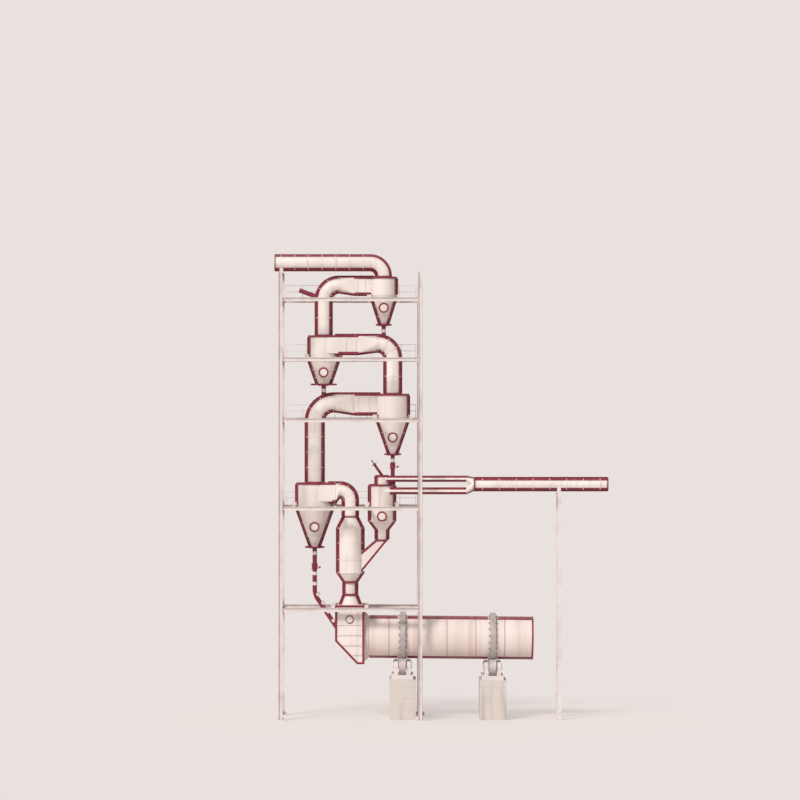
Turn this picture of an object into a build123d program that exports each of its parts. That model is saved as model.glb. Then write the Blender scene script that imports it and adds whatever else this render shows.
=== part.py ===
from build123d import *
import os
from dataclasses import dataclass
from math import atan, atan2, cos, degrees, hypot, radians, sin

os.makedirs("parts", exist_ok=True)

# Feed end of a rotary kiln with its four-stage preheater, swirl calciner and supports.
# Millimetres, +Z up, +X along the kiln towards its discharge, the kiln's axis at y = 0.

# Lined walls and small allowances
lined_wall = 150
chamber_wall = 200
cut_overrun = 50
tangent_setback = 30
seat_gap = 0.3

# Kiln shell, lining, tyres and inlet seal
kiln_radius = 1750
kiln_plate = 30
kiln_lining_thickness = 180
kiln_inset = 566
kiln_length = 14625
kiln_axis_z = 6808
kiln_slope_share = 0.01
tyre_rise = 330
tyre_width = 450
tyre_1_from_feed = 3758
tyre_2_from_feed = 11258
seal_gap = 20
seal_port_gap = 60
seal_thickness = 130
seal_length = 300
tyre_radius = kiln_radius + tyre_rise
seal_radius = kiln_radius + seal_gap + seal_thickness

# Kiln inlet chamber, throat and mixing chamber, stacked up from the kiln's axis
mixing_x = -7558
mixing_radius = 1050
mixing_foot_height = 792
mixing_belly_height = 3708
mixing_crown_height = 917
throat_radius = 525
throat_height = 1033
throat_flare_radius = 841
throat_flare_height = 825
inlet_reach_left = 1209
inlet_reach_right = 1166
inlet_toe_length = 583
inlet_slope_height = 1891
inlet_floor_room = 416
inlet_roof_room = 917
inlet_side_room = 400
inlet_left_x = mixing_x - inlet_reach_left
inlet_right_x = mixing_x + inlet_reach_right
inlet_toe_x = inlet_right_x - inlet_toe_length
inlet_half_depth = kiln_radius + inlet_side_room
inlet_bottom_z = kiln_axis_z - kiln_radius - inlet_floor_room
inlet_knee_z = inlet_bottom_z + inlet_slope_height
inlet_top_z = kiln_axis_z + kiln_radius + inlet_roof_room
throat_bottom_z = inlet_top_z + throat_flare_height
throat_top_z = throat_bottom_z + throat_height
mixing_belly_z = throat_top_z + mixing_foot_height
mixing_shoulder_z = mixing_belly_z + mixing_belly_height
mixing_top_z = mixing_shoulder_z + mixing_crown_height
kiln_feed_x = inlet_right_x - kiln_inset

# Cyclones: each one's axis, its roof's rise above the piece below, and its outer sizes
stage_1_x = -4775
stage_1_rise = 4875
stage_1_radius = 1050
stage_1_barrel = 1625
stage_1_cone = 2400
stage_1_outlet_radius = 330
stage_1_lip_radius = 640
stage_1_inlet_height = 1417
stage_1_inlet_width = 700

stage_2_x = -9792
stage_2_rise = 4875
stage_2_radius = 1233
stage_2_barrel = 2125
stage_2_cone = 2000
stage_2_outlet_radius = 565
stage_2_lip_radius = 1070
stage_2_inlet_height = 1500
stage_2_inlet_width = 800

stage_3_x = -4025
stage_3_rise = 7417
stage_3_radius = 1308
stage_3_barrel = 2167
stage_3_cone = 2900
stage_3_outlet_radius = 340
stage_3_lip_radius = 675
stage_3_inlet_height = 1667
stage_3_inlet_width = 900

stage_4_x = -10542
gooseneck_rise = 2833
stage_4_radius = 1500
stage_4_barrel = 2166
stage_4_cone = 3250
stage_4_outlet_radius = 375
stage_4_lip_radius = 785
stage_4_inlet_height = 1541
stage_4_inlet_width = 1000

stage_4_roof_z = mixing_top_z + gooseneck_rise
stage_3_roof_z = stage_4_roof_z + stage_3_rise
stage_2_roof_z = stage_3_roof_z + stage_2_rise
stage_1_roof_z = stage_2_roof_z + stage_1_rise

lip_thickness = 90
dip_tube_share = 0.75

# Gas ducts: a round riser, a bend, then a change to the rectangular inlet
gas_out_radius = 600
gas_out_bend = 1125
gas_out_overhang = 617
riser_1_radius = 612
riser_1_bend = 1250
riser_2_radius = 650
riser_2_bend = 1250
riser_3_radius = 700
riser_3_bend = 1580
gooseneck_radius = 585
gooseneck_bend = 850
spigot_length = 100
transition_share = 0.5
round_corner_share = 0.98
duct_corner = 60
flange_width = 90
flange_thickness = 50

# Swirl calciner with its head, burner and sloping chute
calciner_offset = 2641
calciner_radius = 1045
calciner_barrel = 3058
calciner_cone = 750
calciner_neck = 792
neck_radius = 480
head_radius = 500
head_height = 750
head_lid = 100
burner_radius = 115
burner_bore = 75
burner_tilt = 35
burner_reach = 1100
burner_flange_radius = 230
burner_flange_thickness = 60
chute_foot_rise = 208
chute_mouth_height = 1584
chute_drop = 958
chute_half_width = 480
meal_box_left_x = -4400
meal_box_right_x = -3800
meal_box_half_width = 220
meal_box_height = 400
calciner_x = mixing_x + calciner_offset
chute_lower_z = mixing_belly_z + chute_foot_rise
chute_upper_z = chute_lower_z + chute_mouth_height
neck_bottom_z = chute_upper_z + chute_drop
calciner_cone_z = neck_bottom_z + calciner_neck
calciner_barrel_z = calciner_cone_z + calciner_cone
calciner_roof_z = calciner_barrel_z + calciner_barrel

# Tertiary air duct, its fork and its two branches
tertiary_radius = 455
tertiary_rise = 25
tertiary_end_x = 13917
fork_start_x = 2750
fork_length = 667
upper_branch_radius = 190
upper_branch_rise = 467
lower_branch_radius = 220
lower_branch_drop = 525
branch_wall = 80
tertiary_wall = 110
fork_end_x = fork_start_x - fork_length
tertiary_z = calciner_roof_z + tertiary_rise
upper_branch_z = calciner_roof_z + upper_branch_rise
lower_branch_z = calciner_roof_z - lower_branch_drop

# Meal pipes and the raw feed spout
meal_pipe_wall = 30
meal_pipe_1_radius = 180
meal_pipe_2_radius = 200
meal_pipe_3_radius = 170
meal_pipe_4_radius = 190
meal_flange_radius = 420
meal_flange_thickness = 50
meal_pipe_4_bend_rise = 775
meal_pipe_4_entry_drop = 1892
meal_pipe_4_bend_radius = 1500
feed_spout_radius = 190
feed_spout_top_x = -11833
feed_spout_top_drop = 1083
feed_spout_entry_drop = 1833
meal_pipe_4_bend_z = inlet_top_z + meal_pipe_4_bend_rise
meal_pipe_4_entry_z = inlet_top_z - meal_pipe_4_entry_drop
feed_spout_top_z = stage_1_roof_z - feed_spout_top_drop
feed_spout_entry_z = stage_1_roof_z - feed_spout_entry_drop

# Support rollers, bearings, base frames and piers
roller_radius = 600
roller_width = 560
roller_angle = 30
shaft_radius = 170
shaft_end = 40
bearing_gap = 70
bearing_length = 340
bearing_half_width = 380
bearing_clearance = 0.5
roller_underside_gap = 150
base_thickness = 350
base_half_length = 900
base_half_width = 2000
pier_half_length = 1100
pier_half_width = 2300

# Steel tower and the duct's trestle
tower_left_room = 2758
tower_right_room = 2275
tower_half_depth = 2900
column_size = 340
column_web = 30
base_plate_size = 800
base_plate_thickness = 60
beam_height = 320
beam_width = 260
beam_web = 24
lug_reach = 350
lug_height = 300
lug_width = 400
lug_offset = 200
lug_drop = 50
brace_width = 140
brace_thickness = 90
brace_plate = 420
saddle_half_length = 150
saddle_half_width = 400
trestle_x = 9800
trestle_half_depth = 1600
trestle_post_width = 300
saddle_depth = 500
tower_left_x = stage_4_x - tower_left_room
tower_right_x = stage_3_x + tower_right_room
gas_out_end_x = tower_left_x - gas_out_overhang


@dataclass
class Stage:
    """One cyclone of the preheater: its place, its outer sizes and where its gas comes in."""

    number: int
    x: float
    y: float
    roof_z: float
    radius: float
    barrel: float
    cone: float
    outlet_radius: float
    lip_radius: float
    inlet_height: float
    inlet_width: float
    inlet_side: int
    inlet_y: float
    gas_radius: float

    @property
    def barrel_z(self):
        """Height of the barrel's lower edge."""
        return self.roof_z - self.barrel

    @property
    def outlet_z(self):
        """Height of the flange under the cone."""
        return self.barrel_z - self.cone

    @property
    def bearer_z(self):
        """Height of the beams that the brackets rest on."""
        return self.roof_z - self.inlet_height - lug_drop - lug_height


def inlet_offset(radius, width):
    """How far a tangential inlet's middle lies from the axis of its vessel."""
    return radius - tangent_setback - width / 2


# The gas goes straight from each axis into the side of the next vessel up, so the axes alternate.
stage_4_y = inlet_offset(stage_4_radius, stage_4_inlet_width)
stage_3_y = stage_4_y - inlet_offset(stage_3_radius, stage_3_inlet_width)
stage_2_y = stage_3_y + inlet_offset(stage_2_radius, stage_2_inlet_width)
stage_1_y = stage_2_y - inlet_offset(stage_1_radius, stage_1_inlet_width)

stage_1 = Stage(
    1, stage_1_x, stage_1_y, stage_1_roof_z, stage_1_radius, stage_1_barrel, stage_1_cone,
    stage_1_outlet_radius, stage_1_lip_radius, stage_1_inlet_height, stage_1_inlet_width,
    -1, stage_2_y, gas_out_radius,
)
stage_2 = Stage(
    2, stage_2_x, stage_2_y, stage_2_roof_z, stage_2_radius, stage_2_barrel, stage_2_cone,
    stage_2_outlet_radius, stage_2_lip_radius, stage_2_inlet_height, stage_2_inlet_width,
    1, stage_3_y, riser_1_radius,
)
stage_3 = Stage(
    3, stage_3_x, stage_3_y, stage_3_roof_z, stage_3_radius, stage_3_barrel, stage_3_cone,
    stage_3_outlet_radius, stage_3_lip_radius, stage_3_inlet_height, stage_3_inlet_width,
    -1, stage_4_y, riser_2_radius,
)
stage_4 = Stage(
    4, stage_4_x, stage_4_y, stage_4_roof_z, stage_4_radius, stage_4_barrel, stage_4_cone,
    stage_4_outlet_radius, stage_4_lip_radius, stage_4_inlet_height, stage_4_inlet_width,
    1, 0, riser_3_radius,
)
stages = [stage_1, stage_2, stage_3, stage_4]

upper_branch_y = -(head_radius - tangent_setback - upper_branch_radius)
lower_branch_y = -(calciner_radius - tangent_setback - lower_branch_radius)
tertiary_y = (upper_branch_y + lower_branch_y) / 2


def keep(piece, name):
    """Labels a finished piece and writes it as its own file."""
    piece.part.label = name
    export_step(piece.part, f"parts/{name}.step")


def front_plane(y):
    """Upright plane at depth y: its own x is the model's X and its own y is the model's Z."""
    return Plane(origin=(0, y, 0), x_dir=(1, 0, 0), z_dir=(0, -1, 0))


def cross_plane(x, y, z):
    """Plane square to X at a point: its own x is the model's Y and its own y is the model's Z."""
    return Plane(origin=(x, y, z), x_dir=(0, 1, 0), z_dir=(1, 0, 0))


def upright_axis(x, y):
    """Vertical line through a place in the plan."""
    return Axis((x, y, 0), (0, 0, 1))


def turned_solid(x, y, outline):
    """Solid turned about a vertical axis from an outline of radii and heights."""
    with BuildPart(mode=Mode.PRIVATE) as turned:
        with BuildSketch(front_plane(y)):
            with BuildLine():
                Polyline(*[(x + radius, z) for radius, z in outline], close=True)
            make_face()
        revolve(axis=upright_axis(x, y))
    return turned.part


def duct_core(x_start, x_end, y, z, width, height):
    """Straight solid the size of a rectangular duct's inside, along X."""
    with BuildPart(mode=Mode.PRIVATE) as core:
        with BuildSketch(cross_plane(x_start, y, z)):
            Rectangle(width, height)
        extrude(amount=x_end - x_start)
    return core.part


def round_core(x_start, x_end, y, z, radius):
    """Straight round solid along X."""
    with BuildPart(mode=Mode.PRIVATE) as core:
        with BuildSketch(cross_plane(x_start, y, z)):
            Circle(radius)
        extrude(amount=x_end - x_start)
    return core.part


def lugs(x, y, radius, bottom_z, height):
    """Two brackets, left and right of a vessel, that rest on its bearer beams."""
    with BuildPart(mode=Mode.PRIVATE) as pair:
        with BuildSketch(Plane.XY.offset(bottom_z)):
            with Locations((x, y)):
                Rectangle(2 * (radius + lug_reach), lug_width)
        extrude(amount=height)
    return pair.part


def make_cyclone(stage):
    """Barrel and cone as one lined shell, with a tangential inlet window and an outlet flange."""
    inner = stage.radius - lined_wall
    outlet_inner = stage.outlet_radius - lined_wall
    top_z = stage.roof_z - lined_wall
    lip_top_z = stage.outlet_z + lip_thickness
    shell_outline = [
        (0, top_z), (stage.radius, top_z), (stage.radius, stage.barrel_z),
        (stage.outlet_radius, lip_top_z), (stage.lip_radius, lip_top_z),
        (stage.lip_radius, stage.outlet_z), (0, stage.outlet_z),
    ]
    bore_outline = [
        (0, top_z + cut_overrun), (inner, top_z + cut_overrun), (inner, stage.barrel_z),
        (outlet_inner, lip_top_z), (outlet_inner, stage.outlet_z - cut_overrun),
        (0, stage.outlet_z - cut_overrun),
    ]
    window_height = stage.inlet_height - 2 * lined_wall
    window = duct_core(
        stage.x + stage.inlet_side * (stage.radius + cut_overrun), stage.x, stage.inlet_y,
        top_z - (window_height - cut_overrun) / 2,
        stage.inlet_width - 2 * lined_wall, window_height + cut_overrun,
    )
    with BuildPart() as shell:
        add(turned_solid(stage.x, stage.y, shell_outline))
        add(lugs(stage.x, stage.y, stage.radius, stage.bearer_z, lug_height))
        add(turned_solid(stage.x, stage.y, bore_outline), mode=Mode.SUBTRACT)
        add(window, mode=Mode.SUBTRACT)
    keep(shell, f"cyclone_{stage.number}_shell")


def make_roof(stage):
    """Flat lined roof with the dip tube that hangs inside the barrel."""
    tube_inner = stage.gas_radius - lined_wall
    tube_bottom_z = stage.roof_z - stage.inlet_height * dip_tube_share
    with BuildPart() as roof:
        with BuildSketch(Plane.XY.offset(stage.roof_z - lined_wall)):
            with Locations((stage.x, stage.y)):
                Circle(stage.radius)
                Circle(tube_inner, mode=Mode.SUBTRACT)
        extrude(amount=lined_wall)
        with BuildSketch(Plane.XY.offset(tube_bottom_z)):
            with Locations((stage.x, stage.y)):
                Circle(stage.gas_radius - lined_wall / 2)
                Circle(tube_inner, mode=Mode.SUBTRACT)
        extrude(amount=stage.roof_z - lined_wall - tube_bottom_z)
    keep(roof, f"cyclone_{stage.number}_roof")


def swept_tube(points, bend_radius, radius, bore):
    """Round tube along straight runs joined by bends; a bore of zero leaves it solid."""
    start, following = Vector(*points[0]), Vector(*points[1])
    section = Plane(origin=start, z_dir=following - start)
    with BuildPart(mode=Mode.PRIVATE) as tube:
        with BuildLine() as route:
            if len(points) > 2:
                FilletPolyline(*points, radius=bend_radius)
            else:
                Line(*points)
        with BuildSketch(section):
            Circle(radius)
            if bore:
                Circle(bore, mode=Mode.SUBTRACT)
        sweep(path=route.line)
    return tube.part


def riser_points(x, y, base_z, top_z, side, bend_radius):
    """Corner points of a riser that turns level towards one side."""
    return [(x, y, base_z), (x, y, top_z), (x + side * (bend_radius + spigot_length), y, top_z)]


def make_riser(name, x, y, base_z, target, radius, bend_radius):
    """Round riser with its bend, up from a vessel and over towards the next one."""
    points = riser_points(x, y, base_z, target.roof_z - radius, -target.inlet_side, bend_radius)
    with BuildPart() as riser:
        add(swept_tube(points, bend_radius, radius, radius - lined_wall))
        with BuildSketch(Plane.XY.offset(base_z)):
            with Locations((x, y)):
                Circle(radius + flange_width)
                Circle(radius - lined_wall, mode=Mode.SUBTRACT)
        extrude(amount=flange_thickness)
    keep(riser, name)


def make_inlet_duct(name, from_x, radius, bend_radius, target):
    """Duct that changes from round to rectangular and enters a cyclone along its tangent."""
    away = target.inlet_side
    start_x = from_x - away * (bend_radius + spigot_length)
    wall_x = target.x + away * target.radius
    change_x = start_x + (wall_x - start_x) * transition_share
    round_z = target.roof_z - radius
    box_z = target.roof_z - target.inlet_height / 2
    y = target.inlet_y
    bore = radius - lined_wall
    bore_width = target.inlet_width - 2 * lined_wall
    bore_height = target.inlet_height - 2 * lined_wall
    with BuildPart() as duct:
        with BuildSketch(cross_plane(start_x, y, round_z)):
            RectangleRounded(2 * radius, 2 * radius, radius * round_corner_share)
        with BuildSketch(cross_plane(change_x, y, box_z)):
            RectangleRounded(target.inlet_width, target.inlet_height, duct_corner)
        loft()
        with BuildSketch(cross_plane(change_x, y, box_z)):
            RectangleRounded(target.inlet_width, target.inlet_height, duct_corner)
        extrude(amount=target.x - change_x)
        with BuildSketch(cross_plane(start_x, y, round_z)):
            RectangleRounded(2 * bore, 2 * bore, bore * round_corner_share)
        with BuildSketch(cross_plane(change_x, y, box_z)):
            RectangleRounded(bore_width, bore_height, duct_corner)
        loft(mode=Mode.SUBTRACT)
        add(duct_core(change_x, target.x, y, box_z, bore_width, bore_height), mode=Mode.SUBTRACT)
        with BuildSketch(Plane.XY.offset(target.roof_z - target.inlet_height - cut_overrun)):
            with Locations((target.x, target.y)):
                Circle(target.radius)
        extrude(amount=target.inlet_height + 2 * cut_overrun, mode=Mode.SUBTRACT)
    keep(duct, name)


for stage in stages:
    make_cyclone(stage)
    make_roof(stage)

make_riser("riser_stage_2_to_1", stage_2.x, stage_2.y, stage_2.roof_z, stage_1, riser_1_radius, riser_1_bend)
make_riser("riser_stage_3_to_2", stage_3.x, stage_3.y, stage_3.roof_z, stage_2, riser_2_radius, riser_2_bend)
make_riser("riser_stage_4_to_3", stage_4.x, stage_4.y, stage_4.roof_z, stage_3, riser_3_radius, riser_3_bend)
make_riser("gooseneck", mixing_x, 0, mixing_top_z, stage_4, gooseneck_radius, gooseneck_bend)
make_inlet_duct("inlet_duct_1", stage_2.x, riser_1_radius, riser_1_bend, stage_1)
make_inlet_duct("inlet_duct_2", stage_3.x, riser_2_radius, riser_2_bend, stage_2)
make_inlet_duct("inlet_duct_3", stage_4.x, riser_3_radius, riser_3_bend, stage_3)
make_inlet_duct("inlet_duct_4", mixing_x, gooseneck_radius, gooseneck_bend, stage_4)

# Gas outlet duct from the top cyclone, open at its left end
gas_out_z = stage_1.roof_z + gas_out_bend + flange_thickness + cut_overrun
gas_out_points = [
    (stage_1.x, stage_1.y, stage_1.roof_z), (stage_1.x, stage_1.y, gas_out_z),
    (gas_out_end_x, stage_1.y, gas_out_z),
]
with BuildPart() as gas_out_duct:
    add(swept_tube(gas_out_points, gas_out_bend, gas_out_radius, gas_out_radius - lined_wall))
    with BuildSketch(Plane.XY.offset(stage_1.roof_z)):
        with Locations((stage_1.x, stage_1.y)):
            Circle(gas_out_radius + flange_width)
            Circle(gas_out_radius - lined_wall, mode=Mode.SUBTRACT)
    extrude(amount=flange_thickness)
    with BuildSketch(cross_plane(gas_out_end_x, stage_1.y, gas_out_z)):
        Circle(gas_out_radius + flange_width)
        Circle(gas_out_radius - lined_wall, mode=Mode.SUBTRACT)
    extrude(amount=flange_thickness)
keep(gas_out_duct, "gas_out_duct")

# Calciner chute: a sloping box from the calciner's neck into the mixing chamber
chute_left_x = calciner_x - chute_half_width
chute_right_x = calciner_x + chute_half_width
upper_run = (neck_bottom_z - chute_upper_z) / (chute_left_x - mixing_x - mixing_radius)
lower_run = (neck_bottom_z - chute_lower_z) / (chute_right_x - mixing_x - mixing_radius)


def chute_solid(inset):
    """The chute's outline, or its inside when an inset is given, as a solid across the plant."""
    with BuildPart(mode=Mode.PRIVATE) as solid:
        with BuildSketch(front_plane(0)):
            with BuildLine():
                Polyline(
                    (chute_left_x, neck_bottom_z), (chute_right_x, neck_bottom_z),
                    (mixing_x, neck_bottom_z - lower_run * (chute_right_x - mixing_x)),
                    (mixing_x, neck_bottom_z - upper_run * (chute_left_x - mixing_x)),
                    close=True,
                )
            make_face()
            if inset:
                offset(amount=-inset, kind=Kind.INTERSECTION)
        extrude(amount=chute_half_width - inset, both=True)
    return solid.part


with BuildPart() as chute:
    add(chute_solid(0))
    add(chute_solid(lined_wall), mode=Mode.SUBTRACT)
    with BuildSketch(Plane.XY.offset(neck_bottom_z - 2 * lined_wall)):
        with Locations((calciner_x, 0)):
            Circle(neck_radius - lined_wall)
    extrude(amount=2 * lined_wall + cut_overrun, mode=Mode.SUBTRACT)
    with BuildSketch(Plane.XY.offset(throat_bottom_z)):
        with Locations((mixing_x, 0)):
            Circle(mixing_radius)
    extrude(amount=mixing_shoulder_z - throat_bottom_z, mode=Mode.SUBTRACT)
keep(chute, "calciner_chute")

# Mixing chamber: a belly between two cones, with a window for the chute
mixing_outline = [
    (0, mixing_top_z), (gooseneck_radius, mixing_top_z), (mixing_radius, mixing_shoulder_z),
    (mixing_radius, mixing_belly_z), (throat_radius, throat_top_z), (0, throat_top_z),
]
mixing_bore = [
    (0, mixing_top_z + cut_overrun), (gooseneck_radius - lined_wall, mixing_top_z + cut_overrun),
    (gooseneck_radius - lined_wall, mixing_top_z), (mixing_radius - lined_wall, mixing_shoulder_z),
    (mixing_radius - lined_wall, mixing_belly_z), (throat_radius - lined_wall, throat_top_z),
    (throat_radius - lined_wall, throat_top_z - cut_overrun), (0, throat_top_z - cut_overrun),
]
with BuildPart() as mixing_chamber:
    add(turned_solid(mixing_x, 0, mixing_outline))
    add(turned_solid(mixing_x, 0, mixing_bore), mode=Mode.SUBTRACT)
    add(chute_solid(lined_wall), mode=Mode.SUBTRACT)
keep(mixing_chamber, "mixing_chamber")

throat_outline = [
    (0, throat_top_z), (throat_radius, throat_top_z), (throat_radius, throat_bottom_z),
    (throat_flare_radius, inlet_top_z), (0, inlet_top_z),
]
throat_bore = [
    (0, throat_top_z + cut_overrun), (throat_radius - lined_wall, throat_top_z + cut_overrun),
    (throat_radius - lined_wall, throat_bottom_z), (throat_flare_radius - lined_wall, inlet_top_z),
    (throat_flare_radius - lined_wall, inlet_top_z - cut_overrun), (0, inlet_top_z - cut_overrun),
]
with BuildPart() as throat:
    add(turned_solid(mixing_x, 0, throat_outline))
    add(turned_solid(mixing_x, 0, throat_bore), mode=Mode.SUBTRACT)
keep(throat, "throat")

# Kiln inlet chamber: a lined box with a sloping floor that feeds the kiln
kiln_tilt = degrees(atan(kiln_slope_share))


def axis_height(x):
    """Height of the kiln's axis at a place along the plant."""
    return kiln_axis_z - kiln_slope_share * (x - kiln_feed_x)


inlet_bearer_z = inlet_top_z - lug_height / 2
inlet_middle_x = (inlet_left_x + inlet_right_x) / 2
inlet_half_length = (inlet_right_x - inlet_left_x) / 2
with BuildPart() as inlet_chamber:
    with BuildSketch(front_plane(0)) as inlet_profile:
        with BuildLine():
            Polyline(
                (inlet_left_x, inlet_top_z), (inlet_right_x, inlet_top_z),
                (inlet_right_x, inlet_bottom_z), (inlet_toe_x, inlet_bottom_z),
                (inlet_left_x, inlet_knee_z), close=True,
            )
        make_face()
    extrude(amount=inlet_half_depth, both=True)
    with BuildSketch(Plane.XY.offset(inlet_bearer_z)):
        with Locations((inlet_middle_x, 0)):
            Rectangle(2 * (inlet_half_length + lug_reach), 2 * inlet_half_depth)
            Rectangle(2 * (inlet_half_length + lug_reach), inlet_half_depth, mode=Mode.SUBTRACT)
            Rectangle(2 * inlet_half_length, 2 * inlet_half_depth)
    extrude(amount=inlet_top_z - inlet_bearer_z)
    with BuildSketch(front_plane(0)):
        add(inlet_profile.sketch.moved(Location((0, 0, 0))))
        offset(amount=-chamber_wall, kind=Kind.INTERSECTION, mode=Mode.REPLACE)
    extrude(amount=inlet_half_depth - chamber_wall, both=True, mode=Mode.SUBTRACT)
    with BuildSketch(Plane.XY.offset(inlet_top_z - chamber_wall - cut_overrun)):
        with Locations((mixing_x, 0)):
            Circle(throat_flare_radius - lined_wall)
    extrude(amount=chamber_wall + 2 * cut_overrun, mode=Mode.SUBTRACT)
    port_x = inlet_right_x - chamber_wall - cut_overrun
    with BuildSketch(cross_plane(port_x, 0, axis_height(inlet_right_x))):
        Circle(kiln_radius + seal_port_gap)
    extrude(amount=chamber_wall + 2 * cut_overrun, mode=Mode.SUBTRACT)
keep(inlet_chamber, "kiln_inlet_chamber")

with BuildPart() as kiln_seal:
    with BuildSketch(cross_plane(inlet_right_x, 0, axis_height(inlet_right_x))):
        Circle(seal_radius)
        Circle(kiln_radius + seal_gap, mode=Mode.SUBTRACT)
    extrude(amount=seal_length)
keep(kiln_seal, "kiln_inlet_seal")

# Swirl calciner: barrel, cone and neck, with its roof, head and burner
calciner_outline = [
    (0, calciner_roof_z - lined_wall), (calciner_radius, calciner_roof_z - lined_wall),
    (calciner_radius, calciner_barrel_z), (neck_radius, calciner_cone_z),
    (neck_radius, neck_bottom_z), (0, neck_bottom_z),
]
calciner_bore = [
    (0, calciner_roof_z), (calciner_radius - lined_wall, calciner_roof_z),
    (calciner_radius - lined_wall, calciner_barrel_z), (neck_radius - lined_wall, calciner_cone_z),
    (neck_radius - lined_wall, neck_bottom_z - cut_overrun), (0, neck_bottom_z - cut_overrun),
]
calciner_edge_x = calciner_x + calciner_radius + cut_overrun
head_edge_x = calciner_x + head_radius + cut_overrun
with BuildPart() as calciner_shell:
    add(turned_solid(calciner_x, 0, calciner_outline))
    add(lugs(calciner_x, 0, calciner_radius, stage_4.bearer_z, lug_height))
    add(turned_solid(calciner_x, 0, calciner_bore), mode=Mode.SUBTRACT)
    add(
        round_core(
            calciner_x, calciner_edge_x, lower_branch_y, lower_branch_z,
            lower_branch_radius - branch_wall,
        ),
        mode=Mode.SUBTRACT,
    )
keep(calciner_shell, "calciner_shell")

with BuildPart() as calciner_roof:
    with BuildSketch(Plane.XY.offset(calciner_roof_z - lined_wall)):
        with Locations((calciner_x, 0)):
            Circle(calciner_radius)
            Circle(head_radius - lined_wall, mode=Mode.SUBTRACT)
    extrude(amount=lined_wall)
keep(calciner_roof, "calciner_roof")

head_top_z = calciner_roof_z + head_height
with BuildPart() as calciner_head:
    with BuildSketch(Plane.XY.offset(calciner_roof_z)):
        with Locations((calciner_x, 0)):
            Circle(head_radius)
    extrude(amount=head_height)
    with BuildSketch(Plane.XY.offset(calciner_roof_z)):
        with Locations((calciner_x, 0)):
            Circle(head_radius - lined_wall)
    extrude(amount=head_height - head_lid, mode=Mode.SUBTRACT)
    add(
        round_core(
            calciner_x, head_edge_x, upper_branch_y, upper_branch_z,
            upper_branch_radius - branch_wall,
        ),
        mode=Mode.SUBTRACT,
    )
keep(calciner_head, "calciner_head")

# Burner: an inclined pipe seated on the head's lid, with a flange at its open end
burner_plane = Plane(
    origin=(calciner_x, 0, head_top_z),
    x_dir=(0, 1, 0),
    z_dir=(-sin(radians(burner_tilt)), 0, cos(radians(burner_tilt))),
)
with BuildPart() as burner:
    with BuildSketch(burner_plane.offset(-burner_radius)):
        Circle(burner_radius)
        Circle(burner_bore, mode=Mode.SUBTRACT)
    extrude(amount=burner_reach + burner_radius)
    with BuildSketch(burner_plane.offset(burner_reach)):
        Circle(burner_flange_radius)
        Circle(burner_bore, mode=Mode.SUBTRACT)
    extrude(amount=burner_flange_thickness)
    split(bisect_by=Plane.XY.offset(head_top_z), keep=Keep.TOP)
keep(burner, "burner")

with BuildPart() as meal_box:
    meal_box_x = (meal_box_left_x + meal_box_right_x) / 2
    with BuildSketch(Plane.XY.offset(calciner_roof_z)):
        with Locations((meal_box_x, stage_3.y)):
            Rectangle(meal_box_right_x - meal_box_left_x, 2 * meal_box_half_width)
    extrude(amount=meal_box_height)
keep(meal_box, "meal_inlet_box")

# Tertiary air duct with its fork and the two branches that enter the calciner
with BuildPart() as tertiary_duct:
    with BuildSketch(cross_plane(fork_start_x, tertiary_y, tertiary_z)):
        Circle(tertiary_radius)
        Circle(tertiary_radius - tertiary_wall, mode=Mode.SUBTRACT)
    extrude(amount=tertiary_end_x - fork_start_x)
    for flange_x in (fork_start_x, tertiary_end_x - flange_thickness):
        with BuildSketch(cross_plane(flange_x, tertiary_y, tertiary_z)):
            Circle(tertiary_radius + flange_width)
            Circle(tertiary_radius - tertiary_wall, mode=Mode.SUBTRACT)
        extrude(amount=flange_thickness)
keep(tertiary_duct, "tertiary_duct")


fork_plane = Plane(
    origin=(fork_start_x, tertiary_y, tertiary_z),
    z_dir=(0, upper_branch_y - lower_branch_y, upper_branch_z - lower_branch_z),
)


def fork_leg(y, z, radius, side_kept):
    """One hollow leg of the fork, cut off along the plane that runs between the two legs."""
    with BuildPart(mode=Mode.PRIVATE) as leg:
        for inset in (False, True):
            with BuildSketch(cross_plane(fork_start_x, tertiary_y, tertiary_z)):
                Circle(tertiary_radius - (tertiary_wall if inset else 0))
            with BuildSketch(cross_plane(fork_end_x, y, z)):
                Circle(radius - (branch_wall if inset else 0))
            loft(mode=Mode.SUBTRACT if inset else Mode.ADD)
        split(bisect_by=fork_plane, keep=side_kept)
    return leg.part


with BuildPart() as tertiary_fork:
    add(fork_leg(upper_branch_y, upper_branch_z, upper_branch_radius, Keep.TOP))
    add(fork_leg(lower_branch_y, lower_branch_z, lower_branch_radius, Keep.BOTTOM))
keep(tertiary_fork, "tertiary_fork")

with BuildPart() as upper_branch:
    with BuildSketch(cross_plane(calciner_x, upper_branch_y, upper_branch_z)):
        Circle(upper_branch_radius)
        Circle(upper_branch_radius - branch_wall, mode=Mode.SUBTRACT)
    extrude(amount=fork_end_x - calciner_x)
    with BuildSketch(Plane.XY.offset(calciner_roof_z)):
        with Locations((calciner_x, 0)):
            Circle(head_radius)
    extrude(amount=head_height + cut_overrun, mode=Mode.SUBTRACT)
keep(upper_branch, "tertiary_upper_branch")

with BuildPart() as lower_branch:
    with BuildSketch(cross_plane(calciner_x, lower_branch_y, lower_branch_z)):
        Circle(lower_branch_radius)
        Circle(lower_branch_radius - branch_wall, mode=Mode.SUBTRACT)
    extrude(amount=fork_end_x - calciner_x)
    with BuildSketch(Plane.XY.offset(calciner_barrel_z)):
        with Locations((calciner_x, 0)):
            Circle(calciner_radius)
    extrude(amount=calciner_barrel, mode=Mode.SUBTRACT)
keep(lower_branch, "tertiary_lower_branch")


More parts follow.
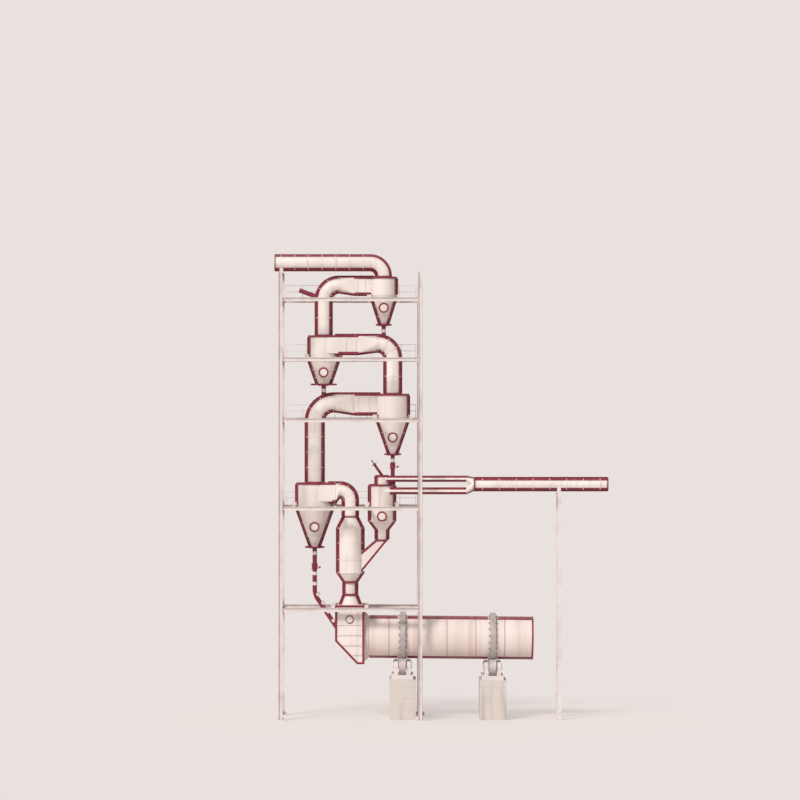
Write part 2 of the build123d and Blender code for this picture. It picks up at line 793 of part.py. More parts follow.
def riser_solid(stage, target, radius, bend_radius):
    """A riser's outer form without its bore, to fit a meal pipe's end to it."""
    points = riser_points(
        stage.x, stage.y, stage.roof_z, target.roof_z - radius, -target.inlet_side, bend_radius
    )
    return swept_tube(points, bend_radius, radius, 0)


def make_meal_pipe(name, stage, points, bend_radius, radius, seat):
    """Meal pipe that hangs from a cyclone's outlet flange and ends on the piece below."""
    with BuildPart() as pipe:
        add(swept_tube(points, bend_radius, radius, radius - meal_pipe_wall))
        with BuildSketch(Plane.XY.offset(stage.outlet_z - meal_flange_thickness)):
            with Locations((stage.x, stage.y)):
                Circle(meal_flange_radius)
                Circle(radius - meal_pipe_wall, mode=Mode.SUBTRACT)
        extrude(amount=meal_flange_thickness)
        if seat is not None:
            add(seat, mode=Mode.SUBTRACT)
    keep(pipe, name)


make_meal_pipe(
    "meal_pipe_1", stage_1,
    [
        (stage_1.x, stage_1.y, stage_1.outlet_z),
        (stage_1.x, stage_1.y, stage_2.roof_z - riser_2_radius),
    ],
    0, meal_pipe_1_radius, riser_solid(stage_3, stage_2, riser_2_radius, riser_2_bend),
)
make_meal_pipe(
    "meal_pipe_2", stage_2,
    [
        (stage_2.x, stage_2.y, stage_2.outlet_z),
        (stage_2.x, stage_2.y, stage_3.roof_z - riser_3_radius),
    ],
    0, meal_pipe_2_radius, riser_solid(stage_4, stage_3, riser_3_radius, riser_3_bend),
)
make_meal_pipe(
    "meal_pipe_3", stage_3,
    [
        (stage_3.x, stage_3.y, stage_3.outlet_z),
        (stage_3.x, stage_3.y, calciner_roof_z + meal_box_height),
    ],
    0, meal_pipe_3_radius, None,
)
entry_x = inlet_left_x + meal_pipe_4_radius
entry_slope = (meal_pipe_4_bend_z - meal_pipe_4_entry_z) / (inlet_left_x - stage_4.x)
with BuildPart() as inlet_block:
    with BuildSketch(Plane.XY.offset(inlet_bottom_z)):
        with Locations((inlet_middle_x, 0)):
            Rectangle(2 * inlet_half_length, 2 * inlet_half_depth)
    extrude(amount=inlet_top_z - inlet_bottom_z)
make_meal_pipe(
    "meal_pipe_4", stage_4,
    [
        (stage_4.x, stage_4.y, stage_4.outlet_z), (stage_4.x, stage_4.y, meal_pipe_4_bend_z),
        (entry_x, stage_4.y, meal_pipe_4_entry_z - entry_slope * meal_pipe_4_radius),
    ],
    meal_pipe_4_bend_radius, meal_pipe_4_radius, inlet_block.part,
)

with BuildPart() as feed_spout:
    add(
        swept_tube(
            [
                (feed_spout_top_x, stage_2.y, feed_spout_top_z),
                (stage_2.x, stage_2.y, feed_spout_entry_z),
            ],
            0, feed_spout_radius, feed_spout_radius - meal_pipe_wall,
        )
    )
    add(riser_solid(stage_2, stage_1, riser_1_radius, riser_1_bend), mode=Mode.SUBTRACT)
keep(feed_spout, "feed_spout")

# The kiln: a plate shell with a brick lining and two tyres, on a slightly sloping axis
kiln_plane = Plane(
    origin=(kiln_feed_x, 0, kiln_axis_z),
    x_dir=(0, 1, 0),
    z_dir=(cos(radians(kiln_tilt)), 0, -sin(radians(kiln_tilt))),
)
with BuildPart() as kiln_shell:
    with BuildSketch(kiln_plane):
        Circle(kiln_radius)
        Circle(kiln_radius - kiln_plate, mode=Mode.SUBTRACT)
    extrude(amount=kiln_length)
keep(kiln_shell, "kiln_shell")

with BuildPart() as kiln_lining:
    with BuildSketch(kiln_plane):
        Circle(kiln_radius - kiln_plate)
        Circle(kiln_radius - kiln_plate - kiln_lining_thickness, mode=Mode.SUBTRACT)
    extrude(amount=kiln_length)
keep(kiln_lining, "kiln_lining")

with BuildPart() as kiln_tyres:
    for from_feed in (tyre_1_from_feed, tyre_2_from_feed):
        with BuildSketch(kiln_plane.offset(from_feed - tyre_width / 2)):
            Circle(tyre_radius)
            Circle(kiln_radius, mode=Mode.SUBTRACT)
        extrude(amount=tyre_width)
keep(kiln_tyres, "kiln_tyres")

# Support rollers: two under each tyre, each on its own shaft
roller_reach = tyre_radius + roller_radius + seat_gap
roller_side = roller_reach * sin(radians(roller_angle))
roller_drop = roller_reach * cos(radians(roller_angle))
shaft_half = roller_width / 2 + bearing_gap + bearing_length + shaft_end
base_top_drop = roller_drop + roller_radius + roller_underside_gap
bearing_start = roller_width / 2 + bearing_gap
roller_number = 0
for from_feed in (tyre_1_from_feed, tyre_2_from_feed):
    for side in (-1, 1):
        roller_number += 1
        with BuildPart() as roller:
            with BuildSketch(kiln_plane.offset(from_feed - roller_width / 2)):
                with Locations((side * roller_side, -roller_drop)):
                    Circle(roller_radius)
            extrude(amount=roller_width)
            with BuildSketch(kiln_plane.offset(from_feed - shaft_half)):
                with Locations((side * roller_side, -roller_drop)):
                    Circle(shaft_radius)
            extrude(amount=2 * shaft_half)
        keep(roller, f"support_roller_{roller_number}")

with BuildPart() as roller_bearings:
    for from_feed in (tyre_1_from_feed, tyre_2_from_feed):
        for start in (-bearing_start - bearing_length, bearing_start):
            with BuildSketch(kiln_plane.offset(from_feed + start)):
                for side in (-1, 1):
                    with Locations((side * roller_side, -roller_drop)):
                        Circle(bearing_half_width)
                    with Locations((side * roller_side, -(roller_drop + base_top_drop) / 2)):
                        Rectangle(2 * bearing_half_width, base_top_drop - roller_drop)
                    with Locations((side * roller_side, -roller_drop)):
                        Circle(shaft_radius + bearing_clearance, mode=Mode.SUBTRACT)
            extrude(amount=bearing_length)
keep(roller_bearings, "roller_bearings")

with BuildPart() as roller_bases:
    for from_feed in (tyre_1_from_feed, tyre_2_from_feed):
        with BuildSketch(kiln_plane.offset(from_feed - base_half_length)):
            with Locations((0, -base_top_drop - base_thickness / 2)):
                Rectangle(2 * base_half_width, base_thickness)
        extrude(amount=2 * base_half_length)
keep(roller_bases, "roller_bases")

pier_top_drop = (base_top_drop + base_thickness) / cos(radians(kiln_tilt))
with BuildPart() as kiln_piers:
    for from_feed in (tyre_1_from_feed, tyre_2_from_feed):
        pier_x = kiln_feed_x + from_feed * cos(radians(kiln_tilt))
        left_x, right_x = pier_x - pier_half_length, pier_x + pier_half_length
        with BuildSketch(front_plane(0)):
            with BuildLine():
                Polyline(
                    (left_x, 0), (right_x, 0), (right_x, axis_height(right_x) - pier_top_drop),
                    (left_x, axis_height(left_x) - pier_top_drop), close=True,
                )
            make_face()
        extrude(amount=pier_half_width, both=True)
keep(kiln_piers, "kiln_piers")


def i_section(height, width, web):
    """Rolled I-section, the same plate in its web and both flanges, upright about its middle."""
    Rectangle(width, height)
    side = (width - web) / 2
    with Locations(((web + side) / 2, 0), (-(web + side) / 2, 0)):
        Rectangle(side, height - 2 * web, mode=Mode.SUBTRACT)


# Tower: four columns, beams between them at each level, and bearers under the vessels
bearer_heights = {
    "inlet": inlet_bearer_z,
    "stage_4": stage_4.bearer_z,
    "stage_3": stage_3.bearer_z,
    "stage_2": stage_2.bearer_z,
    "stage_1": stage_1.bearer_z,
}
gas_saddle_z = gas_out_z - gas_out_radius - saddle_depth / 2
column_places = [
    Location((x, side * tower_half_depth, 0), (0, 0, 90))
    for x in (tower_left_x, tower_right_x)
    for side in (-1, 1)
]
with BuildPart() as tower_columns:
    with BuildSketch(Plane.XY.offset(base_plate_thickness)):
        with Locations(*column_places):
            i_section(column_size, column_size, column_web)
    extrude(amount=gas_saddle_z - base_plate_thickness)
    with BuildSketch():
        with Locations(*column_places):
            Rectangle(base_plate_size, base_plate_size)
    extrude(amount=base_plate_thickness)
keep(tower_columns, "tower_columns")

long_start_x = tower_left_x + column_size / 2
long_end_x = tower_right_x - column_size / 2
with BuildPart() as tower_side_beams:
    for top_z in bearer_heights.values():
        for side in (-1, 1):
            middle = (side * tower_half_depth, top_z - beam_height / 2)
            with BuildSketch(cross_plane(long_start_x, *middle)):
                i_section(beam_height, beam_width, beam_web)
            extrude(amount=long_end_x - long_start_x)
keep(tower_side_beams, "tower_side_beams")


def beam_plane(x, half, top_z):
    """Plane at one end of a beam that runs across the tower with its top at a given height."""
    return Plane(origin=(x, -half, top_z - beam_height / 2), x_dir=(1, 0, 0), z_dir=(0, 1, 0))


end_beam_half = tower_half_depth - column_web / 2
end_beam_places = [
    (x, top_z)
    for x in (tower_left_x, tower_right_x)
    for top_z in (*bearer_heights.values(), gas_saddle_z)
]
with BuildPart() as tower_end_beams:
    for x, top_z in end_beam_places:
        with BuildSketch(beam_plane(x, end_beam_half, top_z)):
            i_section(beam_height, beam_width, beam_web)
        extrude(amount=2 * end_beam_half)
keep(tower_end_beams, "tower_end_beams")

# Crossed braces in both end frames, left out where the kiln runs through the right one
heights = list(bearer_heights.values())
brace_bays = [(tower_left_x, base_plate_thickness, heights[0] - beam_height)]
for x in (tower_left_x, tower_right_x):
    for low_z, high_z in zip(heights, heights[1:]):
        brace_bays.append((x, low_z, high_z - beam_height))
with BuildPart() as tower_braces:
    for x, low_z, high_z in brace_bays:
        tall = high_z - low_z
        slope = degrees(atan2(tall, 2 * end_beam_half))
        reach = hypot(tall, 2 * end_beam_half)
        with BuildSketch(cross_plane(x - brace_thickness / 2, 0, (low_z + high_z) / 2)):
            Rectangle(reach, brace_width, rotation=slope)
            Rectangle(reach, brace_width, rotation=-slope)
            Rectangle(brace_plate, brace_plate)
            Rectangle(2 * end_beam_half, tall, mode=Mode.INTERSECT)
        extrude(amount=brace_thickness)
keep(tower_braces, "tower_braces")

bearer_places = [
    (inlet_left_x - lug_offset, bearer_heights["inlet"]),
    (inlet_right_x + lug_offset, bearer_heights["inlet"]),
    (calciner_x - calciner_radius - lug_offset, bearer_heights["stage_4"]),
    (calciner_x + calciner_radius + lug_offset, bearer_heights["stage_4"]),
]
for stage in stages:
    for side in (-1, 1):
        bearer_places.append((stage.x + side * (stage.radius + lug_offset), stage.bearer_z))
bearer_half = tower_half_depth - beam_width / 2
with BuildPart() as vessel_bearers:
    for x, top_z in bearer_places:
        with BuildSketch(beam_plane(x, bearer_half, top_z)):
            i_section(beam_height, beam_width, beam_web)
        extrude(amount=2 * bearer_half)
keep(vessel_bearers, "vessel_bearers")

# Saddles under the gas outlet duct and the tertiary duct
with BuildPart() as gas_saddle:
    with BuildSketch(Plane.XY.offset(gas_saddle_z)):
        with Locations((tower_left_x, stage_1.y)):
            Rectangle(2 * saddle_half_length, 2 * saddle_half_width)
    extrude(amount=saddle_depth)
    add(
        round_core(gas_out_end_x, stage_1.x, stage_1.y, gas_out_z, gas_out_radius),
        mode=Mode.SUBTRACT,
    )
keep(gas_saddle, "gas_out_saddle")

trestle_top_z = tertiary_z - tertiary_radius - saddle_depth / 2
with BuildPart() as duct_trestle:
    post_places = [(trestle_x, tertiary_y + side * trestle_half_depth) for side in (-1, 1)]
    with BuildSketch():
        with Locations(*post_places):
            Rectangle(base_plate_size, base_plate_size)
    extrude(amount=base_plate_thickness)
    with BuildSketch(Plane.XY.offset(base_plate_thickness)):
        with Locations(*post_places):
            Rectangle(trestle_post_width, trestle_post_width)
    extrude(amount=trestle_top_z - base_plate_thickness)
    with BuildSketch(Plane.XY.offset(trestle_top_z - beam_height)):
        with Locations((trestle_x, tertiary_y)):
            Rectangle(trestle_post_width, 2 * trestle_half_depth)
    extrude(amount=beam_height)
    with BuildSketch(Plane.XY.offset(trestle_top_z)):
        with Locations((trestle_x, tertiary_y)):
            Rectangle(trestle_post_width, 2 * saddle_half_width)
    extrude(amount=saddle_depth)
    add(
        round_core(fork_start_x, tertiary_end_x, tertiary_y, tertiary_z, tertiary_radius),
        mode=Mode.SUBTRACT,
    )
keep(duct_trestle, "duct_trestle")
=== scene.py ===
"""Dresses the kiln plant: painted and lined vessels, bolted seams, rollers, walkways and a plain studio."""

import logging
import math
from dataclasses import dataclass, field
from enum import Enum
from functools import cache
from typing import Callable, Sequence

import bmesh
import bpy
from mathutils import Matrix, Vector


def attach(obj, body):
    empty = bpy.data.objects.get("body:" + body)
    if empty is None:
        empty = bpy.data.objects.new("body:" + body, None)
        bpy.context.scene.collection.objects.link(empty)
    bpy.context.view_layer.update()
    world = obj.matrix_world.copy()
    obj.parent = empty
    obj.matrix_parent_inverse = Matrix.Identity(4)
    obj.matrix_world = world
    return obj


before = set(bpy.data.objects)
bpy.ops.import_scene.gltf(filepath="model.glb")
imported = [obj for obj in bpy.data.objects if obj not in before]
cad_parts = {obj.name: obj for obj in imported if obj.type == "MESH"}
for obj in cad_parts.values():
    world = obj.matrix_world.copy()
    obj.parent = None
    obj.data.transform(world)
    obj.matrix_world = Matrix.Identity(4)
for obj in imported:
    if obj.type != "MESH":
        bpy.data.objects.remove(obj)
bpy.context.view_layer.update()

log = logging.getLogger("kiln_plant")

Point = tuple[float, float]
Ring = tuple[float, float, float]
Colour = tuple[float, float, float]
Paint = Colour | bpy.types.NodeSocket

# Sizes shared by several sub-assemblies, in metres
SEAM_PROUD = 0.15
SEAM_HALF = 0.05
SEAM_COVER = 0.15
SEAM_SKIN = 0.02
SEAM_BOLT_SHARE = 0.6
GAS_OUT_SEAM_PROUD = 0.085
HOOP_PITCH = 1.15
HOOP_PROUD = 0.03
HOOP_HEIGHT = 0.05
VESSEL_SUNK = 0.03
DUCT_SUNK = 0.02
FRAME_PITCH = 0.8
FLANGE_PROUD = 0.09
LIP_HEIGHT = 0.09
HATCH_RADIUS = 0.33
BOLT_RADIUS = 0.026
BOLT_STAND = 0.07
BOLT_PITCH = 0.32
RING_BOLT_PITCH = 0.2
BASE_PLATE_TOP = 0.045
ANCHOR_REACH = 0.31
# Keeps two flat faces from lying in one plane
APART = 0.003
# Inner radius of a disc, which stands in for none
SPINDLE = 0.001
ROUND_STEPS = 48

QUARTER = math.pi / 2
SIDES = (-1, 1)
FRONT = Vector((0, -1, 0))
UP = Vector((0, 0, 1))


def linear(red: int, green: int, blue: int) -> Colour:
    """Turns a colour written as it looks on screen into the renderer's linear values.

    Args:
        red: Red from 0 to 255.
        green: Green from 0 to 255.
        blue: Blue from 0 to 255.

    Returns:
        The colour as linear red, green and blue.
    """
    shares = (value / 255 for value in (red, green, blue))
    return tuple(share / 12.92 if share <= 0.04045 else ((share + 0.055) / 1.055) ** 2.4 for share in shares)


PAPER = linear(233, 225, 222)
CRIMSON = linear(134, 30, 58)
DEEP_CRIMSON = linear(97, 26, 42)


@dataclass(frozen=True)
class Wire:
    """A number that runs between nodes and takes ordinary arithmetic."""

    nodes: "Nodes"
    socket: bpy.types.NodeSocket

    def __add__(self, other: "Wire | float") -> "Wire":
        """Sum."""
        return self.nodes.math("ADD", self, other)

    __radd__ = __add__

    def __mul__(self, other: "Wire | float") -> "Wire":
        """Product."""
        return self.nodes.math("MULTIPLY", self, other)

    __rmul__ = __mul__

    def __sub__(self, other: "Wire | float") -> "Wire":
        """Difference."""
        return self.nodes.math("SUBTRACT", self, other)

    def __rsub__(self, other: "Wire | float") -> "Wire":
        """Difference the other way round."""
        return self.nodes.math("SUBTRACT", other, self)

    def __truediv__(self, other: "Wire | float") -> "Wire":
        """Quotient."""
        return self.nodes.math("DIVIDE", self, other)

    def __rtruediv__(self, other: "Wire | float") -> "Wire":
        """Quotient the other way round."""
        return self.nodes.math("DIVIDE", other, self)

    def between(self, low: float, high: float) -> "Wire":
        """Runs smoothly from 0 at low to 1 at high.

        Args:
            low: Value that gives 0.
            high: Value that gives 1.

        Returns:
            The smooth step.
        """
        inputs = {"Value": self, "From Min": low, "From Max": high}
        node = self.nodes.node("ShaderNodeMapRange", inputs, interpolation_type="SMOOTHSTEP")
        return Wire(self.nodes, node.outputs["Result"])


class Nodes:
    """A node tree with one way to add a node."""

    def __init__(self, tree: bpy.types.NodeTree) -> None:
        """Starts with an empty tree."""
        self.tree = tree
        tree.nodes.clear()

    def node(self, kind: str, inputs: dict, **settings) -> bpy.types.Node:
        """Adds a node and fills its inputs.

        Args:
            kind: Blender's name of the node type.
            inputs: Input names or numbers, each with a value, a socket or a Wire.
            **settings: Properties to set on the node before its inputs.

        Returns:
            The new node.
        """
        made = self.tree.nodes.new(kind)
        for key, value in settings.items():
            setattr(made, key, value)
        for key, value in inputs.items():
            target, value = made.inputs[key], getattr(value, "socket", value)
            if isinstance(value, bpy.types.NodeSocket):
                self.tree.links.new(value, target)
            elif target.type == "RGBA" and len(value) == 3:
                target.default_value = (*value, 1.0)
            else:
                target.default_value = value
        return made

    def math(self, operation: str, *values: Wire | float) -> Wire:
        """Adds one step of arithmetic on one or two numbers or wires."""
        made = self.node("ShaderNodeMath", dict(enumerate(values)), operation=operation)
        return Wire(self, made.outputs[0])

    def seen(self) -> Wire:
        """Adds a mask that is 1 for the camera and for reflections, and 0 for scattered light.

        Returns:
            The mask.
        """
        rays = self.node("ShaderNodeLightPath", {}).outputs
        camera, glossy, clear = (rays[f"Is {kind} Ray"] for kind in ("Camera", "Glossy", "Transmission"))
        return self.math("MAXIMUM", camera, self.math("MAXIMUM", glossy, clear))


class Graph(Nodes):
    """The node tree of one material, with short ways to add what this plant's finishes need."""

    def __init__(self, name: str) -> None:
        """Starts an empty material.

        Args:
            name: The material's name.
        """
        self.material = bpy.data.materials.new(name)
        self.material.use_nodes = True
        super().__init__(self.material.node_tree)
        self._place = self.node("ShaderNodeTexCoord", {}).outputs["Object"]

    def _part(self, vector: bpy.types.NodeSocket, name: str) -> Wire:
        """One coordinate of a vector: X, Y or Z."""
        return Wire(self, self.node("ShaderNodeSeparateXYZ", {"Vector": vector}).outputs[name])

    def axis(self, name: str) -> Wire:
        """One coordinate of the piece, in metres: X, Y or Z."""
        return self._part(self._place, name)

    def upward(self) -> Wire:
        """How far the surface faces up, from -1 to 1."""
        return self._part(self.node("ShaderNodeNewGeometry", {}).outputs["Normal"], "Z")

    def from_middle(self, steps: Wire) -> Wire:
        """Distance from the middle of the whole step that a value is in, from 0 to 0.5."""
        return self.math("ABSOLUTE", self.math("FRACT", steps) - 0.5)

    def noise(self, scale: float, detail: float = 4.0, stretch: Sequence[float] = (1, 1, 1)) -> Wire:
        """Soft noise on the piece's own coordinates.

        Args:
            scale: Repeats in a metre.
            detail: Number of finer layers.
            stretch: How much each axis counts.

        Returns:
            The noise, about 0 to 1.
        """
        scales = tuple(scale * share for share in stretch)
        place = self.node("ShaderNodeVectorMath", {0: self._place, 1: scales}, operation="MULTIPLY")
        made = self.node("ShaderNodeTexNoise", {"Vector": place.outputs[0], "Scale": 1.0, "Detail": detail})
        return Wire(self, made.outputs["Fac"])

    def coats(self, colour: Paint, *coats: tuple[Wire | float, Paint]) -> Paint:
        """Lays coats of colour over each other.

        Args:
            colour: The colour underneath.
            *coats: Each coat's share, from 0 to 1, and its colour.

        Returns:
            The mixed colour.
        """
        for share, coat in coats:
            inputs = {0: share, 6: colour, 7: coat}
            colour = self.node("ShaderNodeMix", inputs, data_type="RGBA", clamp_factor=True).outputs[2]
        return colour

    def surface(
        self, colour: Paint, roughness: Wire | float, height: Wire, depth: float, metallic: float = 0.0,
        coat: float = 0.0,
    ) -> bpy.types.Material:
        """Closes the tree with one surface shader.

        Args:
            colour: Base colour.
            roughness: Roughness, plain or varying.
            height: Relief for the bump, from 0 to 1.
            depth: How deep the relief is, in metres.
            metallic: Share of metal.
            coat: Weight of a clear coat.

        Returns:
            The finished material.
        """
        bump = self.node("ShaderNodeBump", {"Height": height, "Strength": 0.6, "Distance": depth})
        inputs = {
            "Base Color": colour, "Roughness": roughness, "Metallic": metallic, "Coat Weight": coat,
            "Normal": bump.outputs["Normal"],
        }
        shader = self.node("ShaderNodeBsdfPrincipled", inputs)
        self.node("ShaderNodeOutputMaterial", {"Surface": shader.outputs[0]})
        return self.material


@dataclass(frozen=True)
class VesselPaint:
    """Pale paint over lined plate, with kiln dust on its upper faces and faint rain streaks."""

    name: str
    colour: Colour
    roughness: float = 0.55
    dust: Colour = linear(196, 178, 170)
    streak: Colour = linear(176, 150, 144)

    def build(self) -> bpy.types.Material:
        """Makes the material.

        Returns:
            The finished material.
        """
        graph = Graph(self.name)
        patches = graph.noise(0.35, 5).between(0.35, 0.75)
        streaks = graph.noise(2.4, 6, (1, 1, 0.07)).between(0.52, 0.8)
        grain = graph.noise(14, 4)
        settled = graph.upward().between(0.25, 0.95) * (0.35 + grain * 0.4)
        tint = graph.coats(
            self.colour, (patches * 0.45, self.dust), (streaks * 0.5, self.streak), (settled, self.dust)
        )
        rough = self.roughness + patches * 0.12 + streaks * 0.1
        dents = graph.noise(1.1, 2) * 0.6 + grain * 0.12
        return graph.surface(tint, rough, dents, 0.02, coat=0.05)


@dataclass(frozen=True)
class SeamPaint:
    """Deep crimson paint on flanges and trims, rubbed in patches, chipped and dusted on top."""

    name: str = "seam_paint"
    colour: Colour = CRIMSON
    worn: Colour = DEEP_CRIMSON
    chip: Colour = linear(88, 60, 56)
    dust: Colour = linear(186, 150, 144)

    def build(self) -> bpy.types.Material:
        """Makes the material.

        Returns:
            The finished material.
        """
        graph = Graph(self.name)
        patches = graph.noise(1.3, 5).between(0.38, 0.7)
        chips = graph.noise(22, 3).between(0.66, 0.74)
        dusty = graph.upward().between(0.5, 1.0) * graph.noise(4, 3).between(0.4, 0.8)
        tint = graph.coats(
            self.colour, (patches * 0.6, self.worn), (chips * 0.5, self.chip), (dusty * 0.3, self.dust)
        )
        return graph.surface(tint, 0.42 + patches * 0.15, graph.noise(9, 3), 0.006, coat=0.1)


@dataclass(frozen=True)
class HotPlate:
    """The kiln's own plate: pale paint scorched in rings, with rust along its weld seams."""

    name: str = "hot_plate"
    colour: Colour = linear(229, 216, 211)
    scorch: Colour = linear(196, 168, 160)
    rust: Colour = linear(150, 92, 84)
    strake: float = 2.4
    first_weld: float = 20.3

    def build(self) -> bpy.types.Material:
        """Makes the material.

        Returns:
            The finished material.
        """
        graph = Graph(self.name)
        weld = 1.0 - graph.from_middle(graph.axis("X") / self.strake + self.first_weld).between(0.0, 0.03)
        rings = graph.noise(1.3, 5, (1, 0.06, 0.06)).between(0.3, 0.8)
        speckle = graph.noise(9, 6).between(0.55, 0.85)
        tint = graph.coats(
            self.colour, (rings * 0.55, self.scorch), (speckle * 0.3, self.rust), (weld * 0.75, self.rust)
        )
        height = weld * 0.6 + graph.noise(2.0, 3) * 0.25
        return graph.surface(tint, 0.6 + speckle * 0.15, height, 0.015)


@dataclass(frozen=True)
class FireBrick:
    """Rings of tapered refractory brick inside the kiln."""

    name: str = "fire_brick"
    light: Colour = linear(170, 128, 104)
    dark: Colour = linear(126, 88, 74)
    soot: Colour = linear(92, 74, 68)
    mortar: Colour = linear(70, 58, 54)
    axis_z: float = 6.735
    course: float = 0.2
    bricks_round: int = 96
    courses_before: int = 60

    def build(self) -> bpy.types.Material:
        """Makes the material.

        Returns:
            The finished material.
        """
        graph = Graph(self.name)
        turn = graph.math("ARCTAN2", graph.axis("Z") - self.axis_z, graph.axis("Y"))
        around = turn * (self.bricks_round / math.tau) + self.bricks_round
        along = graph.axis("X") / self.course + self.courses_before
        edges = [graph.from_middle(count).between(0.44, 0.49) for count in (around, along)]
        joint = graph.math("MAXIMUM", *edges)
        brick = graph.math("FLOOR", around) + graph.math("FLOOR", along) * 7.13
        tone = graph.node("ShaderNodeTexWhiteNoise", {"W": brick}, noise_dimensions="1D").outputs["Value"]
        sooty = graph.noise(3, 4).between(0.45, 0.8) * 0.5
        tint = graph.coats(self.light, (tone, self.dark), (sooty, self.soot), (joint * 0.8, self.mortar))
        return graph.surface(tint, 0.85, 1.0 - joint, 0.012)


@dataclass(frozen=True)
class CastConcrete:
    """Board-marked concrete with pits, pour lines and stains."""

    name: str = "cast_concrete"
    colour: Colour = linear(206, 198, 192)
    stain: Colour = linear(150, 138, 132)
    lift: float = 0.9

    def build(self) -> bpy.types.Material:
        """Makes the material.

        Returns:
            The finished material.
        """
        graph = Graph(self.name)
        line = graph.from_middle(graph.axis("Z") / self.lift).between(0.485, 0.5)
        boards = graph.noise(7, 2, (0.08, 0.08, 1))
        runs = graph.noise(1.6, 6, (1, 1, 0.12)).between(0.48, 0.8)
        pits = graph.noise(30, 2).between(0.68, 0.76)
        shares = (runs * 0.6, line * 0.6, pits * 0.4)
        tint = graph.coats(self.colour, *((share, self.stain) for share in shares))
        return graph.surface(tint, 0.85, boards * 0.4 + (1.0 - line) * 0.4 - pits * 0.3, 0.012)


@dataclass(frozen=True)
class RolledSteel:
    """Bare steel polished by rolling, with grease and fine marks round it."""

    name: str
    colour: Colour
    grease: Colour = linear(120, 100, 98)

    def build(self) -> bpy.types.Material:
        """Makes the material.

        Returns:
            The finished material.
        """
        graph = Graph(self.name)
        marks = graph.noise(1.0, 4, (60, 2, 2))
        oily = graph.noise(2.6, 5).between(0.45, 0.8)
        tint = graph.coats(self.colour, (oily * 0.5, self.grease))
        return graph.surface(tint, 0.4 + marks * 0.2, marks, 0.002, metallic=0.15)


@dataclass(frozen=True)
class FramePaint:
    """Light grey frame paint, a little chalky, with patches of dirt and rust specks."""

    name: str = "frame_paint"
    colour: Colour = linear(222, 213, 210)
    dirt: Colour = linear(184, 170, 166)
    speck: Colour = linear(140, 96, 88)

    def build(self) -> bpy.types.Material:
        """Makes the material.

        Returns:
            The finished material.
        """
        graph = Graph(self.name)
        patches = graph.noise(0.8, 5).between(0.4, 0.75)
        specks = graph.noise(18, 3).between(0.68, 0.75)
        tint = graph.coats(self.colour, (patches * 0.5, self.dirt), (specks * 0.5, self.speck))
        return graph.surface(tint, 0.5 + patches * 0.2, graph.noise(6, 3), 0.006)


@dataclass(frozen=True)
class PaperFloor:
    """The pale floor: it shows the background's own colour to the camera and keeps a soft shadow."""

    name: str = "paper_floor"
    colour: Colour = PAPER
    shadow_radius: float = 30.0
    shadow_share: float = 0.5

    def build(self) -> bpy.types.Material:
        """Makes the material.

        Returns:
            The finished material.
        """
        graph = Graph(self.name)
        x, y = graph.axis("X"), graph.axis("Y")
        reach = graph.math("SQRT", x * x + y * y)
        near = 1.0 - reach.between(self.shadow_radius * 0.5, self.shadow_radius)
        plain = graph.node("ShaderNodeBsdfDiffuse", {"Color": self.colour})
        glow = graph.node("ShaderNodeEmission", {"Color": self.colour, "Strength": 1.0})
        share = graph.seen() * (1.0 - near * self.shadow_share)
        mixed = graph.node("ShaderNodeMixShader", {0: share, 1: plain.outputs[0], 2: glow.outputs[0]})
        graph.node("ShaderNodeOutputMaterial", {"Surface": mixed.outputs[0]})
        return graph.material


class Finish(Enum):
    """The named finishes of the plant, each listed with a slot name."""

    VESSEL = VesselPaint("vessel_paint", linear(232, 222, 217)), "vessel_shell"
    DUCT = VesselPaint("duct_paint", linear(236, 227, 222), 0.5), "duct_shell"
    SEAM = SeamPaint(), "red_trim"
    PLATE = HotPlate(), "kiln_plate"
    BRICK = FireBrick(), "kiln_brick"
    CONCRETE = CastConcrete(), "pier_concrete"
    TYRE = RolledSteel("rolled_tyre", linear(178, 168, 165)), "tyre_steel"
    ROLLER = RolledSteel("rolled_roller", linear(196, 187, 184)), "roller_steel"
    FRAME = FramePaint(), "tower_steel"
    FLOOR = PaperFloor(), ""

    @property
    def title(self) -> str:
        """The material's name."""
        return self.value[0].name

    @property
    def slot(self) -> str:
        """The slot name listed with this finish."""
        return self.value[1]

    def material(self) -> bpy.types.Material:
        """The finish's material, made once."""
        return bpy.data.materials.get(self.title) or self.value[0].build()


class Body(Enum):
    """The bodies that pieces ride on."""

    PLANT = "plant"
    KILN = "kiln"
    ROLLER_1 = "roller_1"
    ROLLER_2 = "roller_2"
    ROLLER_3 = "roller_3"
    ROLLER_4 = "roller_4"


def upright(x: float, y: float, z: float, turn: float = 0.0, axis: str = "Z") -> Matrix:
    """Frame at a place, with Z upwards unless it is turned about one of the plant's axes."""
    return Matrix.Translation(Vector((x, y, z))) @ Matrix.Rotation(turn, 4, axis)


def along_x(x: float, y: float, z: float, tilt: float = 0.0) -> Matrix:
    """Frame whose Z runs along the plant's X and dips below level by the tilt."""
    return upright(x, y, z, QUARTER + tilt, "Y")


def facing_front(x: float, y: float, z: float) -> Matrix:
    """Frame whose Z points out of the front of the plant."""
    return upright(x, y, z, QUARTER, "X")


def shifted(frame_of_part: Matrix, x: float = 0.0, y: float = 0.0, z: float = 0.0) -> Matrix:
    """Frame moved along its own axes."""
    return frame_of_part @ Matrix.Translation(Vector((x, y, z)))


